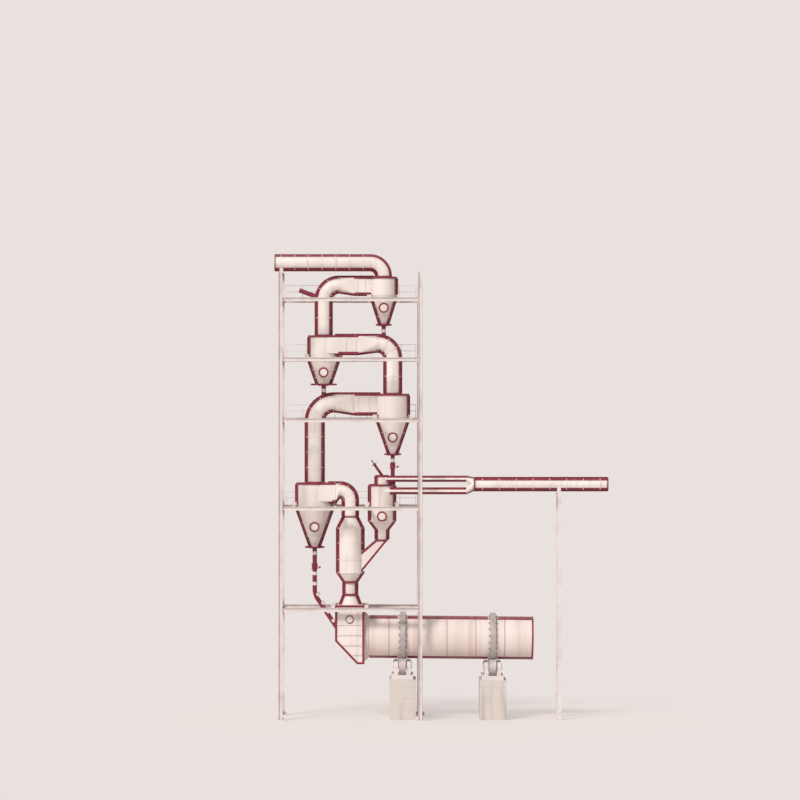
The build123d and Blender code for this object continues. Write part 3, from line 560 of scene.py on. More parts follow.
def outward(axis: Sequence[Ring], side: int) -> list[tuple[Vector, Vector, float]]:
    """Works out which way a line's side faces at each of its points.

    Args:
        axis: Points in X and Z, each with a radius.
        side: 1 for the left of the line's direction, -1 for the right.

    Returns:
        Each point with its outward direction and its radius.
    """
    spots = [Vector((x, z)) for x, z, _ in axis]
    ways = [(b - a).normalized() for a, b in zip(spots, spots[1:])]
    found = []
    for i, (spot, ring) in enumerate(zip(spots, axis)):
        before, after = ways[max(i - 1, 0)], ways[min(i, len(ways) - 1)]
        way = (before + after).normalized()
        stretch = 1 / max(way.dot(after), 0.5)
        found.append((spot, Vector((-way.y, way.x)) * side * stretch, ring[2]))
    return found


def seam_section(radius: float, proud: float) -> list[Point]:
    """Outline of a split flange and the cover strip behind it.

    Args:
        radius: Outer radius of the vessel there.
        proud: How far the flange stands out.

    Returns:
        Distances outwards and across, going round the section once.
    """
    steps = 5
    spread = math.acos(max(1 - SEAM_COVER / radius, 0.45))
    lean = math.asin(SEAM_HALF / (radius + SEAM_SKIN))
    fan = [spread + (lean - spread) * i / (steps - 1) for i in range(steps)]
    reaches = (radius + SEAM_SKIN, radius - SEAM_SKIN)
    near, far = ([(reach * math.cos(a), reach * math.sin(a)) for a in fan] for reach in reaches)
    rib = (radius + proud, SEAM_HALF)
    mirrored = [(reach, -depth) for reach, depth in reversed([*near, rib])]
    under = [(reach, -depth) for reach, depth in far]
    return [*near, rib, *mirrored, *under, *reversed(far)]


def bend(centre: Point, radius: float, start: float, end: float, pipe: float) -> list[Ring]:
    """Axis points of a bend.

    Args:
        centre: Middle of the bend in X and Z.
        radius: Radius of the bend's axis.
        start: First angle in degrees, from +X towards +Z.
        end: Last angle.
        pipe: Outer radius of the duct.

    Returns:
        The points with their radius.
    """
    steps = 10
    turns = [math.radians(start + (end - start) * i / steps) for i in range(steps + 1)]
    x, z = centre
    return [(x + radius * math.cos(a), z + radius * math.sin(a), pipe) for a in turns]


def middles(start: float, end: float, count: int, share: float = 0.5) -> list[float]:
    """Places in equal stretches between two ends, each at a share of its stretch."""
    return [start + (end - start) * (i + share) / count for i in range(count)]


class Pattern(Nodes):
    """A geometry-node tree that repeats one small shape, with its sizes as named inputs."""

    def __init__(self, name: str, sizes: dict[str, float | int]) -> None:
        """Starts the tree.

        Args:
            name: The tree's name.
            sizes: Named inputs with their first values; whole numbers become counts.
        """
        super().__init__(bpy.data.node_groups.new(name, "GeometryNodeTree"))
        sockets = self.tree.interface
        sockets.new_socket("Geometry", in_out="OUTPUT", socket_type="NodeSocketGeometry")
        self._ids: dict[str, str] = {}
        for key, value in sizes.items():
            kind = "NodeSocketInt" if isinstance(value, int) else "NodeSocketFloat"
            made = sockets.new_socket(key, in_out="INPUT", socket_type=kind)
            made.default_value = value
            self._ids[key] = made.identifier
        self.size = self.node("NodeGroupInput", {}).outputs

    def bolt(self) -> bpy.types.NodeSocket:
        """A hexagon bolt along Z, with a head at both ends of its length."""
        sizes = {"Vertices": 6, "Radius": self.size["bolt radius"], "Depth": self.size["bolt length"]}
        return self.node("GeometryNodeMeshCylinder", sizes).outputs[0]

    def line(self) -> bpy.types.NodeSocket:
        """Adds points along X, counted from the origin.

        Returns:
            The points.
        """
        step = self.node("ShaderNodeCombineXYZ", {"X": self.size["pitch"]})
        sizes = {"Count": self.size["count"], "Offset": step.outputs[0]}
        return self.node("GeometryNodeMeshLine", sizes).outputs[0]

    def repeat(self, shape: bpy.types.NodeSocket, points: bpy.types.NodeSocket, finish: Finish) -> "Pattern":
        """Puts a shape on every point and ends the tree with real meshes and their material.

        Args:
            shape: The shape's mesh.
            points: Where it goes.
            finish: Its finish.

        Returns:
            The finished tree.
        """
        placed = self.node("GeometryNodeInstanceOnPoints", {"Points": points, "Instance": shape})
        real = self.node("GeometryNodeRealizeInstances", {"Geometry": placed.outputs[0]})
        dressed = {"Geometry": real.outputs[0], "Material": finish.material()}
        self.node("NodeGroupOutput", {0: self.node("GeometryNodeSetMaterial", dressed).outputs[0]})
        return self

    def mesh(self, **sizes: float | int) -> bpy.types.Mesh:
        """Runs the tree with given sizes.

        Args:
            **sizes: Values for named inputs, with spaces in their names written as underscores.

        Returns:
            A plain mesh.
        """
        shell = bpy.data.meshes.new("carrier")
        carrier = bpy.data.objects.new("carrier", shell)
        bpy.context.scene.collection.objects.link(carrier)
        modifier = carrier.modifiers.new("pattern", "NODES")
        modifier.node_group = self.tree
        for key, value in sizes.items():
            modifier[self._ids[key.replace("_", " ")]] = value
        graph = bpy.context.evaluated_depsgraph_get()
        result = bpy.data.meshes.new_from_object(carrier.evaluated_get(graph))
        bpy.data.objects.remove(carrier)
        bpy.data.meshes.remove(shell)
        return result


@cache
def bolt_arc() -> Pattern:
    """Builds the tree for hexagon bolts along an arc about Z.

    Returns:
        The tree.
    """
    sizes = {"count": 24, "arc radius": 1.0, "start": 0.0, "sweep": math.tau}
    tree = Pattern("bolt_arc", sizes | {"bolt radius": BOLT_RADIUS, "bolt length": 0.16})
    inputs = {"Resolution": "count", "Radius": "arc radius", "Start Angle": "start", "Sweep Angle": "sweep"}
    arc = tree.node("GeometryNodeCurveArc", {key: tree.size[name] for key, name in inputs.items()})
    return tree.repeat(tree.bolt(), arc.outputs[0], Finish.SEAM)


@cache
def bolt_line() -> Pattern:
    """Builds the tree for hexagon bolts in a row along X.

    Returns:
        The tree.
    """
    tree = Pattern("bolt_line", {"count": 10, "pitch": 0.3, "bolt radius": BOLT_RADIUS, "bolt length": 0.16})
    return tree.repeat(tree.bolt(), tree.line(), Finish.SEAM)


@cache
def rung_line() -> Pattern:
    """Builds the tree for square bars in a row along X, such as posts, rungs or grating bars.

    Returns:
        The tree.
    """
    tree = Pattern("rung_line", {"count": 10, "pitch": 1.0, "bar x": 0.05, "bar y": 0.05, "bar z": 1.0})
    shape = tree.node("ShaderNodeCombineXYZ", {axis: tree.size[f"bar {axis.lower()}"] for axis in "XYZ"})
    bar = tree.node("GeometryNodeMeshCube", {"Size": shape.outputs[0]})
    return tree.repeat(bar.outputs[0], tree.line(), Finish.FRAME)


@dataclass
class Sheaf:
    """A mesh in the making: plates, rings, bars and bolts that share one body and one finish."""

    name: str
    finish: Finish
    body: Body = Body.PLANT
    mesh: bmesh.types.BMesh = field(default_factory=bmesh.new)

    def bar(self, low: Sequence[float], high: Sequence[float], place: Matrix = Matrix()) -> None:
        """Adds a square-edged bar between two corners.

        Args:
            low: Lowest corner.
            high: Highest corner.
            place: Where its frame is.
        """
        size = [b - a for a, b in zip(low, high)]
        middle = Vector([(a + b) / 2 for a, b in zip(low, high)])
        shape = place @ Matrix.Translation(middle) @ Matrix.Diagonal((*size, 1.0))
        bmesh.ops.create_cube(self.mesh, size=1.0, matrix=shape)

    def strut(self, start: Sequence[float], end: Sequence[float], radius: float, sides: int = 8) -> None:
        """Adds a closed round or many-sided rod between two points.

        Args:
            start: One end.
            end: The other end.
            radius: Its radius.
            sides: Number of flat sides.
        """
        first, last = Vector(start), Vector(end)
        way = last - first
        shape = Matrix.Translation((first + last) / 2) @ way.to_track_quat("Z", "Y").to_matrix().to_4x4()
        bmesh.ops.create_cone(
            self.mesh, cap_ends=True, segments=sides, radius1=radius, radius2=radius, depth=way.length,
            matrix=shape,
        )

    def _join(self, rows: Sequence[Sequence[Vector]], closed: bool = False) -> None:
        """Joins outlines of equal length into one closed shape.

        Args:
            rows: The outlines, one after the other along the shape.
            closed: Whether the last outline meets the first; otherwise both ends get a cap.
        """
        spots = [[self.mesh.verts.new(spot) for spot in row] for row in rows]
        for here, there in zip(spots, spots[1:] + spots[:1] if closed else spots[1:]):
            for i in range(len(here)):
                j = (i + 1) % len(here)
                self.mesh.faces.new((here[i], here[j], there[j], there[i]))
        if not closed:
            self.mesh.faces.new(spots[0])
            self.mesh.faces.new(reversed(spots[-1]))

    def ring(self, place: Matrix, profile: Sequence[Point]) -> None:
        """Turns a closed profile about the Z of a frame.

        Args:
            place: The frame.
            profile: Radii and heights, going round the profile once.
        """
        turns = [place @ Matrix.Rotation(math.tau * i / ROUND_STEPS, 4, "Z") for i in range(ROUND_STEPS)]
        self._join([[turn @ Vector((r, 0, h)) for r, h in profile] for turn in turns], closed=True)

    def tube(self, place: Matrix, inner: float, outer: float, low: float, high: float) -> None:
        """Adds a ring with a rectangular section.

        Args:
            place: The frame, its Z along the ring's axis.
            inner: Inner radius.
            outer: Outer radius.
            low: Where it starts along Z.
            high: Where it ends.
        """
        self.ring(place, [(inner, low), (outer, low), (outer, high), (inner, high)])

    def hoop(self, place: Matrix, inner: float, outer: float, height: float = HOOP_HEIGHT) -> None:
        """Adds a flat ring of a height, centred on its frame's origin."""
        self.tube(place, inner, outer, -height / 2, height / 2)

    def stiffener(
        self, place: Matrix, radius: float, sunk: float = VESSEL_SUNK, height: float = HOOP_HEIGHT
    ) -> None:
        """Adds a stiffening hoop round a wall of a radius, sunk into it a little."""
        self.hoop(place, radius - sunk, radius + HOOP_PROUD, height)

    def _follow(
        self, axis: Sequence[Ring], y: float, side: int, section: Callable[[float], list[Point]]
    ) -> None:
        """Adds a bar that follows one side of a line.

        Args:
            axis: The line's points in X and Z, each with a radius.
            y: Depth of the line.
            side: 1 for the left of the line's direction, -1 for the right.
            section: Gives distances outwards and across for a radius, going round the bar once.
        """
        rows = []
        for spot, out, radius in outward(axis, side):
            edge = section(radius)
            rows.append([Vector((spot.x + out.x * a, y + b, spot.y + out.y * a)) for a, b in edge])
        self._join(rows)

    def seam(
        self, axis: Sequence[Ring], y: float, side: int, proud: float = SEAM_PROUD,
        bolted: Sequence[Ring] = (),
    ) -> None:
        """Adds a split flange with its cover strip along one side of a round vessel or duct.

        Args:
            axis: Points of the axis in X and Z, each with the outer radius there.
            y: Depth of the axis.
            side: 1 for the side on the left of the axis's direction, -1 for the right.
            proud: How far the flange stands out.
            bolted: The part of the axis beside which each run of at least half a metre gets bolts.
        """
        self._follow(axis, y, side, lambda radius: seam_section(radius, proud))
        shortest, spots = 0.5, []
        for spot, out, radius in outward(bolted, side):
            reach = radius + proud * SEAM_BOLT_SHARE
            spots.append(Vector((spot.x + out.x * reach, y, spot.y + out.y * reach)))
        for first, last in zip(spots, spots[1:]):
            if (last - first).length > shortest:
                self.bolt_run(first, last, FRONT)

    def ridge(self, line: Sequence[Point], y: float, half: float, low: float, high: float) -> None:
        """Adds a flat bar that follows a line in X and Z and stands on its left side.

        Args:
            line: The line's points.
            y: Depth of the bar's middle.
            half: Half its width across the plant.
            low: Where it starts, measured off the line.
            high: Where it ends, measured off the line.
        """
        section = [(low, -half), (high, -half), (high, half), (low, half)]
        self._follow([(x, z, 0.0) for x, z in line], y, 1, lambda _: section)

    def stave(
        self, place: Matrix, inner: float, outer: float, middle: float, start: float, end: float
    ) -> None:
        """Adds a strip of a tube about the Z of a frame, one radian wide.

        Args:
            place: The frame.
            inner: Inner radius.
            outer: Outer radius.
            middle: Angle of its middle, in radians.
            start: Where it starts along Z.
            end: Where it ends.
        """
        half, steps = 0.5, 12
        fan = [middle - half + 2 * half * i / steps for i in range(steps + 1)]
        arc = [(outer * math.cos(a), outer * math.sin(a)) for a in fan]
        arc += [(inner * math.cos(a), inner * math.sin(a)) for a in reversed(fan)]
        self._join([[place @ Vector((*spot, z)) for spot in arc] for z in (start, end)])

    def angle(
        self, start: Sequence[float], end: Sequence[float], first: Vector, second: Vector, skin: float = 0.022
    ) -> None:
        """Adds an angle iron over an outside corner.

        Args:
            start: One end of the corner line.
            end: Its other end.
            first: Outward direction of one face.
            second: Outward direction of the other face.
            skin: Its thickness.
        """
        leg, sunk = SEAM_COVER, 0.01
        section = ((skin, skin), (-leg, skin), (-leg, -sunk), (-sunk, -sunk), (-sunk, -leg), (skin, -leg))
        self._join([[Vector(spot) + first * a + second * b for a, b in section] for spot in (start, end)])

    def _take(self, pattern: Pattern, place: Matrix, **sizes: float | int) -> None:
        """Runs a repeating tree and adds its shapes.

        Args:
            pattern: The tree.
            place: Where its frame is.
            **sizes: Values for its named inputs.
        """
        part = pattern.mesh(**sizes)
        part.transform(place)
        self.mesh.from_mesh(part)
        bpy.data.meshes.remove(part)

    def bolt_ring(self, place: Matrix, radius: float, thickness: float, pitch: float = BOLT_PITCH) -> None:
        """Puts a circle of bolts through a flange.

        Args:
            place: Frame at the flange's middle, its Z along the flange's axis.
            radius: Radius of the bolt circle.
            thickness: Thickness of the flange.
            pitch: Distance between bolts.
        """
        count = max(8, round(math.tau * radius / pitch))
        sweep = math.tau * (count - 1) / count
        self._take(
            bolt_arc(), place, count=count, arc_radius=radius, sweep=sweep, bolt_length=thickness + BOLT_STAND
        )

    def bolt_bend(self, place: Matrix, radius: float, start: float, sweep: float) -> None:
        """Puts bolts through a seam's flange that follows a bend.

        Args:
            place: Frame at the bend's middle, its Z across the flange.
            radius: Radius of the bolt line.
            start: First angle in radians.
            sweep: Angle that the bolts take up.
        """
        count = max(2, round(radius * abs(sweep) / BOLT_PITCH))
        self._take(
            bolt_arc(), place, count=count, arc_radius=radius, start=start, sweep=sweep,
            bolt_length=2 * SEAM_HALF + BOLT_STAND,
        )

    def bolt_run(self, first: Vector, last: Vector, across: Vector) -> None:
        """Puts a row of bolts through a straight run of a seam's flange.

        Args:
            first: Where the row starts.
            last: Where it ends.
            across: Direction of the bolts.
        """
        way = last - first
        count = max(2, round(way.length / BOLT_PITCH))
        pitch = way.length / count
        east = way.normalized()
        place = Matrix((east, across.cross(east), across)).transposed().to_4x4()
        place.translation = first + east * pitch / 2
        self._take(bolt_line(), place, count=count, pitch=pitch, bolt_length=2 * SEAM_HALF + BOLT_STAND)

    def row(self, place: Matrix, count: int, pitch: float, bar: Sequence[float]) -> None:
        """Puts a row of bars along the X of a frame.

        Args:
            place: Frame at the middle of the first bar.
            count: Number of bars.
            pitch: Distance between them.
            bar: Size of one bar.
        """
        x, y, z = bar
        self._take(rung_line(), place, count=count, pitch=pitch, bar_x=x, bar_y=y, bar_z=z)

    def anchors(self, x: float, y: float) -> None:
        """Puts four anchor nuts on the base plate of a post.

        Args:
            x: The post's place along the plant.
            y: Its place across.
        """
        top, radius = 0.14, 0.04
        for nut_x in (x - ANCHOR_REACH, x + ANCHOR_REACH):
            for nut_y in (y - ANCHOR_REACH, y + ANCHOR_REACH):
                self.strut((nut_x, nut_y, BASE_PLATE_TOP), (nut_x, nut_y, top), radius, 6)

    def finish_piece(self) -> None:
        """Makes the object with its faces outwards and its finish, and lets it ride on its body."""
        bmesh.ops.recalc_face_normals(self.mesh, faces=self.mesh.faces)
        data = bpy.data.meshes.new(self.name)
        self.mesh.to_mesh(data)
        self.mesh.free()
        data.materials.append(self.finish.material())
        for face in data.polygons:
            face.use_smooth = True
        data.set_sharp_from_angle(angle=math.radians(35))
        piece = bpy.data.objects.new(self.name, data)
        bpy.context.scene.collection.objects.link(piece)
        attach(piece, self.body.value)
        log.info("%s rides on %s", self.name, self.body.value)


def dress(finish: Finish, *names: str) -> None:
    """Gives carried-over nodes their finish.

    Args:
        finish: The finish.
        *names: The nodes' names.
    """
    for name in names:
        piece = bpy.data.objects[name]
        if not piece.material_slots:
            piece.data.materials.append(None)
        for slot in piece.material_slots:
            slot.material = finish.material()
        log.info("%s has finish %s", name, finish.title)


def hatch(red: Sheaf, pale: Sheaf, place: Matrix, depth: float) -> None:
    """Puts a round hatch with its neck, bolted ring and lid on a wall.

    Args:
        red: The sheaf that takes the ring.
        pale: The sheaf that takes the neck.
        place: Frame in the lid, its Z outwards.
        depth: How far the neck reaches in.
    """
    radius, edge, crown, thick = HATCH_RADIUS, 0.03, 0.05, 0.1
    pale.ring(place, [(SPINDLE, -depth), (radius, -depth), (radius, edge), (SPINDLE, crown)])
    red.hoop(place, radius - 0.03, radius + 0.09, thick)
    red.bolt_ring(place, radius + 0.045, thick, RING_BOLT_PITCH)


def roof_rim(red: Sheaf, place: Matrix, radius: float) -> None:
    """Puts an angle ring round the edge of a flat roof.

    Args:
        red: The sheaf that takes it.
        place: Frame on the roof's top.
        radius: The roof's radius.
    """
    inner, wall, outer = radius - 0.12, radius - 0.01, radius + 0.075
    top, low = 0.02, -0.14
    red.ring(place, [(inner, top), (inner, 0.0), (wall, 0.0), (wall, low), (outer, low), (outer, top)])


def base_band(red: Sheaf, place: Matrix, radius: float) -> None:
    """Puts a bolted band over the base flange of an upright round duct.

    Args:
        red: The sheaf that takes it.
        place: Frame under the flange.
        radius: The duct's radius.
    """
    edge = radius + FLANGE_PROUD
    inner, wall, outer = edge - 0.05, edge - 0.01, edge + 0.03
    under, top = 0.045, 0.09
    red.ring(place, [(inner, under), (wall, under), (wall, 0.0), (outer, 0.0), (outer, top), (inner, top)])
    red.bolt_ring(shifted(place, z=0.05), edge - 0.055, 0.06)


def frame_bars(pale: Sheaf, x: float, y: float, z: float, half: float, tall: float) -> None:
    """Puts a rectangular stiffening frame round a duct that runs along X.

    Args:
        pale: The sheaf that takes the frame.
        x: Where it is.
        y: Middle of the duct across.
        z: Middle of the duct in height.
        half: Half the duct's width.
        tall: Half the duct's height.
    """
    wide, thick, sunk, clear = 0.04, 0.05, 0.01, SEAM_COVER - 0.01
    for side in SIDES:
        near, far = sorted((y + side * (half - sunk), y + side * (half + thick)))
        pale.bar((x - wide, near, z - tall + clear), (x + wide, far, z + tall - clear))
        near, far = sorted((z + side * (tall - sunk), z + side * (tall + thick)))
        pale.bar((x - wide, y - half + clear, near), (x + wide, y + half - clear, far))


@dataclass
class CycloneStage:
    """One cyclone: seams, rims, outlet lip, stiffeners and hatch."""

    number: int
    x: float
    y: float
    roof_z: float
    radius: float
    barrel: float
    cone: float
    outlet_radius: float
    lip_radius: float
    inlet_height: float
    inlet_side: int
    hatch_drop: float

    @property
    def barrel_z(self) -> float:
        """Height of the barrel's lower edge."""
        return self.roof_z - self.barrel

    @property
    def inlet_z(self) -> float:
        """Height of the inlet's lower edge."""
        return self.roof_z - self.inlet_height

    @property
    def outlet_z(self) -> float:
        """Height of the lip under the cone."""
        return self.barrel_z - self.cone

    def level(self, z: float) -> Matrix:
        """Frame on the cyclone's axis at a height."""
        return upright(self.x, self.y, z)

    def cone_radius(self, z: float) -> float:
        """Works out how wide the cone is at a height.

        Args:
            z: The height.

        Returns:
            The cone's outer radius there.
        """
        lip_top = self.outlet_z + LIP_HEIGHT
        share = (z - lip_top) / (self.barrel_z - lip_top)
        return self.outlet_radius + share * (self.radius - self.outlet_radius)

    def build(self) -> None:
        """Adds everything that this cyclone carries."""
        name = f"cyclone_{self.number}"
        dress(Finish.VESSEL, f"{name}_shell", f"{name}_roof")
        red = Sheaf(f"{name}_red_trim", Finish.SEAM)
        pale = Sheaf(f"{name}_stiffeners", Finish.VESSEL)
        for side in SIDES:
            top = self.roof_z - 0.1 if side == self.inlet_side else self.inlet_z - 0.05
            line = [
                (self.x, self.outlet_z + 0.08, self.outlet_radius), (self.x, self.barrel_z, self.radius),
                (self.x, top, self.radius),
            ]
            red.seam(line, self.y, side, bolted=line)
        self._rims(red)
        for z in (self.barrel_z, (self.inlet_z + self.barrel_z) / 2):
            pale.stiffener(self.level(z), self.radius)
        for share in (0.36, 0.7):
            z = self.barrel_z - self.cone * share
            pale.stiffener(self.level(z), self.cone_radius(z), 0.04, 0.04)
        hatch_z = self.barrel_z - self.hatch_drop
        front_y = self.y - (self.cone_radius(hatch_z + HATCH_RADIUS) + 0.06)
        hatch(red, pale, facing_front(self.x, front_y, hatch_z), self.radius * 0.5)
        red.finish_piece()
        pale.finish_piece()

    def _rims(self, red: Sheaf) -> None:
        """Adds the roof rim and the outlet lip, both bolted.

        Args:
            red: The sheaf that takes them.
        """
        roof_rim(red, self.level(self.roof_z), self.radius)
        red.bolt_ring(self.level(self.roof_z), self.radius + 0.03, 0.0, 0.36)
        inner, outer, hollow, wall = (self.lip_radius + step for step in (-0.2, 0.03, -0.06, -0.01))
        low, high, under, base = -0.02, 0.12, 0.088, -0.001
        edge = [
            (inner, low), (outer, low), (outer, high), (hollow, high),
            (hollow, under), (wall, under), (wall, base), (inner, base),
        ]
        red.ring(self.level(self.outlet_z), edge)
        red.bolt_ring(self.level(self.outlet_z + LIP_HEIGHT / 2), self.lip_radius - 0.09, LIP_HEIGHT, 0.26)


@dataclass
class GasDuct:
    """A riser with its bend and the duct that leads it into the next cyclone."""

    riser: str
    x: float
    y: float
    base_z: float
    radius: float
    bend_radius: float
    side: int
    target: CycloneStage
    inlet_width: float

    @property
    def top_z(self) -> float:
        """Height of the level run's axis."""
        return self.target.roof_z - self.radius

    @property
    def bend_z(self) -> float:
        """Height of the bend's middle."""
        return self.top_z - self.bend_radius

    @property
    def level_x(self) -> float:
        """Where the bend ends and the level run starts."""
        return self.x + self.side * self.bend_radius

    def build(self) -> None:
        """Adds seams, base flange, stiffening hoops and the inlet's corner irons."""
        dress(Finish.DUCT, self.riser, f"inlet_duct_{self.target.number}")
        red = Sheaf(f"{self.riser}_red_trim", Finish.SEAM)
        pale = Sheaf(f"{self.riser}_hoops", Finish.DUCT)
        start, end = (180, 90) if self.side > 0 else (0, 90)
        spigot_x = self.level_x + self.side * 0.1
        line = [(self.x, self.base_z + 0.05, self.radius)]
        line += bend((self.level_x, self.bend_z), self.bend_radius, start, end, self.radius)
        line.append((spigot_x, self.top_z, self.radius))
        for side in SIDES:
            red.seam(line, self.y, side, bolted=line[:2])
            reach = self.bend_radius + side * self.side * (self.radius + SEAM_PROUD * SEAM_BOLT_SHARE)
            if reach > 0.2:
                middle = facing_front(self.level_x, self.y, self.bend_z)
                red.bolt_bend(middle, reach, math.radians(start), math.radians(end - start))
        base_band(red, upright(self.x, self.y, self.base_z), self.radius)
        self._hoops(pale)
        self._inlet(red, pale, spigot_x)
        red.finish_piece()
        pale.finish_piece()

    def _hoops(self, pale: Sheaf) -> None:
        """Adds stiffening hoops on the upright run and round the bend.

        Args:
            pale: The sheaf that takes them.
        """
        count = max(1, int((self.bend_z - self.base_z) / HOOP_PITCH))
        for z in middles(self.base_z, self.bend_z, count, 1.0):
            pale.stiffener(upright(self.x, self.y, z), self.radius, DUCT_SUNK)
        for turn in (30, 60, 90):
            middle = upright(self.level_x, self.y, self.bend_z, math.radians(turn) * self.side, "Y")
            pale.stiffener(shifted(middle, x=-self.side * self.bend_radius), self.radius, DUCT_SUNK)

    def _inlet(self, red: Sheaf, pale: Sheaf, start_x: float) -> None:
        """Adds seams, corner irons and frames from the bend to the cyclone's wall.

        Args:
            red: The sheaf that takes seams and irons.
            pale: The sheaf that takes the frames.
            start_x: Where the round part ends.
        """
        wall_x = self.target.x - self.side * self.target.radius
        change_x, half = (start_x + wall_x) / 2, self.inlet_width / 2
        top, low, end_x = self.target.roof_z, self.target.inlet_z, self._meets(self.y)
        above = [(start_x, top), (end_x, top)]
        beneath = [(start_x, self.top_z - self.radius), (change_x, low), (end_x, low)]
        for edge in (above[:: self.side], beneath[:: -self.side]):
            red.ridge(edge, self.y, SEAM_HALF - APART, -0.02, SEAM_PROUD)
        for up, z in ((UP, top), (-UP, low)):
            for face in (FRONT, -FRONT):
                y = self.y + face.y * half
                last_x = self._meets(y) if z == top else wall_x
                red.angle((change_x, y, z), (last_x, y, z), up, face)
                round_y = self.y + face.y * self.radius * 0.36
                round_z = self.top_z + up.z * self.radius * 0.93
                red.angle((start_x, round_y, round_z), (change_x, y, z), up, face)
        steps = max(1, round(abs(wall_x - change_x) / FRAME_PITCH))
        for x in middles(change_x, wall_x, steps, 0.2):
            frame_bars(pale, x, self.y, (low + top) / 2, half, (top - low) / 2)

    def _meets(self, y: float) -> float:
        """Where a wall of the duct at a depth meets the cyclone's barrel."""
        offset = min(abs(y - self.target.y), self.target.radius - 0.03)
        return self.target.x - self.side * math.sqrt(self.target.radius**2 - offset**2)


@dataclass
class GasOutlet:
    """The outlet duct over the top cyclone, open at its far end."""

    x: float = -4.775
    y: float = 0.275
    base_z: float = 36.75
    top_z: float = 37.975
    radius: float = 0.6
    bend_radius: float = 1.125
    end_x: float = -13.917
    hoops: int = 7

    def build(self) -> None:
        """Adds seams, flanges and hoops."""
        dress(Finish.DUCT, "gas_out_duct")
        dress(Finish.FRAME, "gas_out_saddle")
        red = Sheaf("gas_out_red_trim", Finish.SEAM)
        pale = Sheaf("gas_out_hoops", Finish.DUCT)
        level_x = self.x - self.bend_radius
        line = [(self.x, self.base_z + 0.05, self.radius)]
        line += bend((level_x, self.top_z - self.bend_radius), self.bend_radius, 0, 90, self.radius)
        line.append((self.end_x + 0.05, self.top_z, self.radius))
        for side, proud in ((-1, GAS_OUT_SEAM_PROUD), (1, SEAM_PROUD)):
            red.seam(line, self.y, side, proud, line[-2:])
        base_band(red, upright(self.x, self.y, self.base_z), self.radius)
        rim = self.radius + FLANGE_PROUD
        red.tube(along_x(self.end_x, self.y, self.top_z), self.radius + 0.02, rim - 0.002, 0.045, 0.1)
        red.bolt_ring(along_x(self.end_x + 0.043, self.y, self.top_z), rim - 0.045, 0.01)
        for x in middles(level_x, self.end_x, self.hoops):
            pale.stiffener(along_x(x, self.y, self.top_z), self.radius, DUCT_SUNK)
        red.finish_piece()
        pale.finish_piece()


@dataclass
class MixingTrain:
    """Gooseneck foot, mixing chamber, throat and the chute from the calciner."""

    x: float = -7.558
    radius: float = 1.05
    neck_radius: float = 0.585
    top_z: float = 16.75
    shoulder_z: float = 15.833
    belly_z: float = 12.125
    throat_radius: float = 0.525
    throat_top_z: float = 11.333
    throat_bottom_z: float = 10.3
    flare_radius: float = 0.841
    foot_z: float = 9.475
    chute_left_x: float = -5.397
    chute_right_x: float = -4.437
    chute_top_z: float = 14.875
    chute_upper_z: float = 13.917
    chute_lower_z: float = 12.333
    chute_half: float = 0.48

    def build(self) -> None:
        """Adds seams, rings and the chute's corner irons."""
        dress(Finish.VESSEL, "mixing_chamber", "throat", "calciner_chute")
        red = Sheaf("mixing_red_trim", Finish.SEAM)
        pale = Sheaf("mixing_stiffeners", Finish.VESSEL)
        top = [(self.x, self.shoulder_z, self.radius), (self.x, self.top_z, self.neck_radius)]
        foot = [
            (self.x, self.foot_z, self.flare_radius), (self.x, self.throat_bottom_z, self.throat_radius),
            (self.x, self.throat_top_z, self.throat_radius), (self.x, self.belly_z, self.radius),
        ]
        under_chute = (self.x, self.chute_lower_z - 0.1, self.radius)
        over_chute = (self.x, self.chute_upper_z + 0.1, self.radius)
        for line, side in (([*foot, *top], 1), ([*foot, under_chute], -1), ([over_chute, *top], -1)):
            red.seam(line, 0.0, side, bolted=line)
        for z in (self.throat_top_z, self.throat_bottom_z):
            red.hoop(upright(self.x, 0.0, z), self.throat_radius - 0.03, self.throat_radius + 0.15, 0.14)
            red.bolt_ring(upright(self.x, 0.0, z), self.throat_radius + 0.08, 0.14, 0.24)
        for z in (self.shoulder_z, 14.6, 13.2, self.belly_z):
            pale.stiffener(upright(self.x, 0.0, z), self.radius)
        self._chute(red)
        red.finish_piece()
        pale.finish_piece()

    def _chute(self, red: Sheaf) -> None:
        """Adds corner irons down the chute and along the sides of its mouth.

        Args:
            red: The sheaf that takes them.
        """
        wall_x, top = self.x + self.radius, self.chute_top_z
        left = (self.chute_left_x, self.chute_upper_z, 0.3, 1)
        right = (self.chute_right_x, self.chute_lower_z, 0.1, -1)
        for x, low, sunk, turn in (left, right):
            way = Vector((x - wall_x, top - low)).normalized()
            end_x, end_z = wall_x - sunk, low - sunk * way.y / way.x
            for side in SIDES:
                y = side * self.chute_half
                face = Vector((-way.y, 0, way.x)) * turn
                red.angle((x, y, top), (end_x, y, end_z), face, Vector((0, side, 0)))
        for side in SIDES:
            y = side * (self.chute_half + APART)
            red.angle((self.chute_left_x, y, top), (self.chute_right_x, y, top), UP, Vector((0, side, 0)))


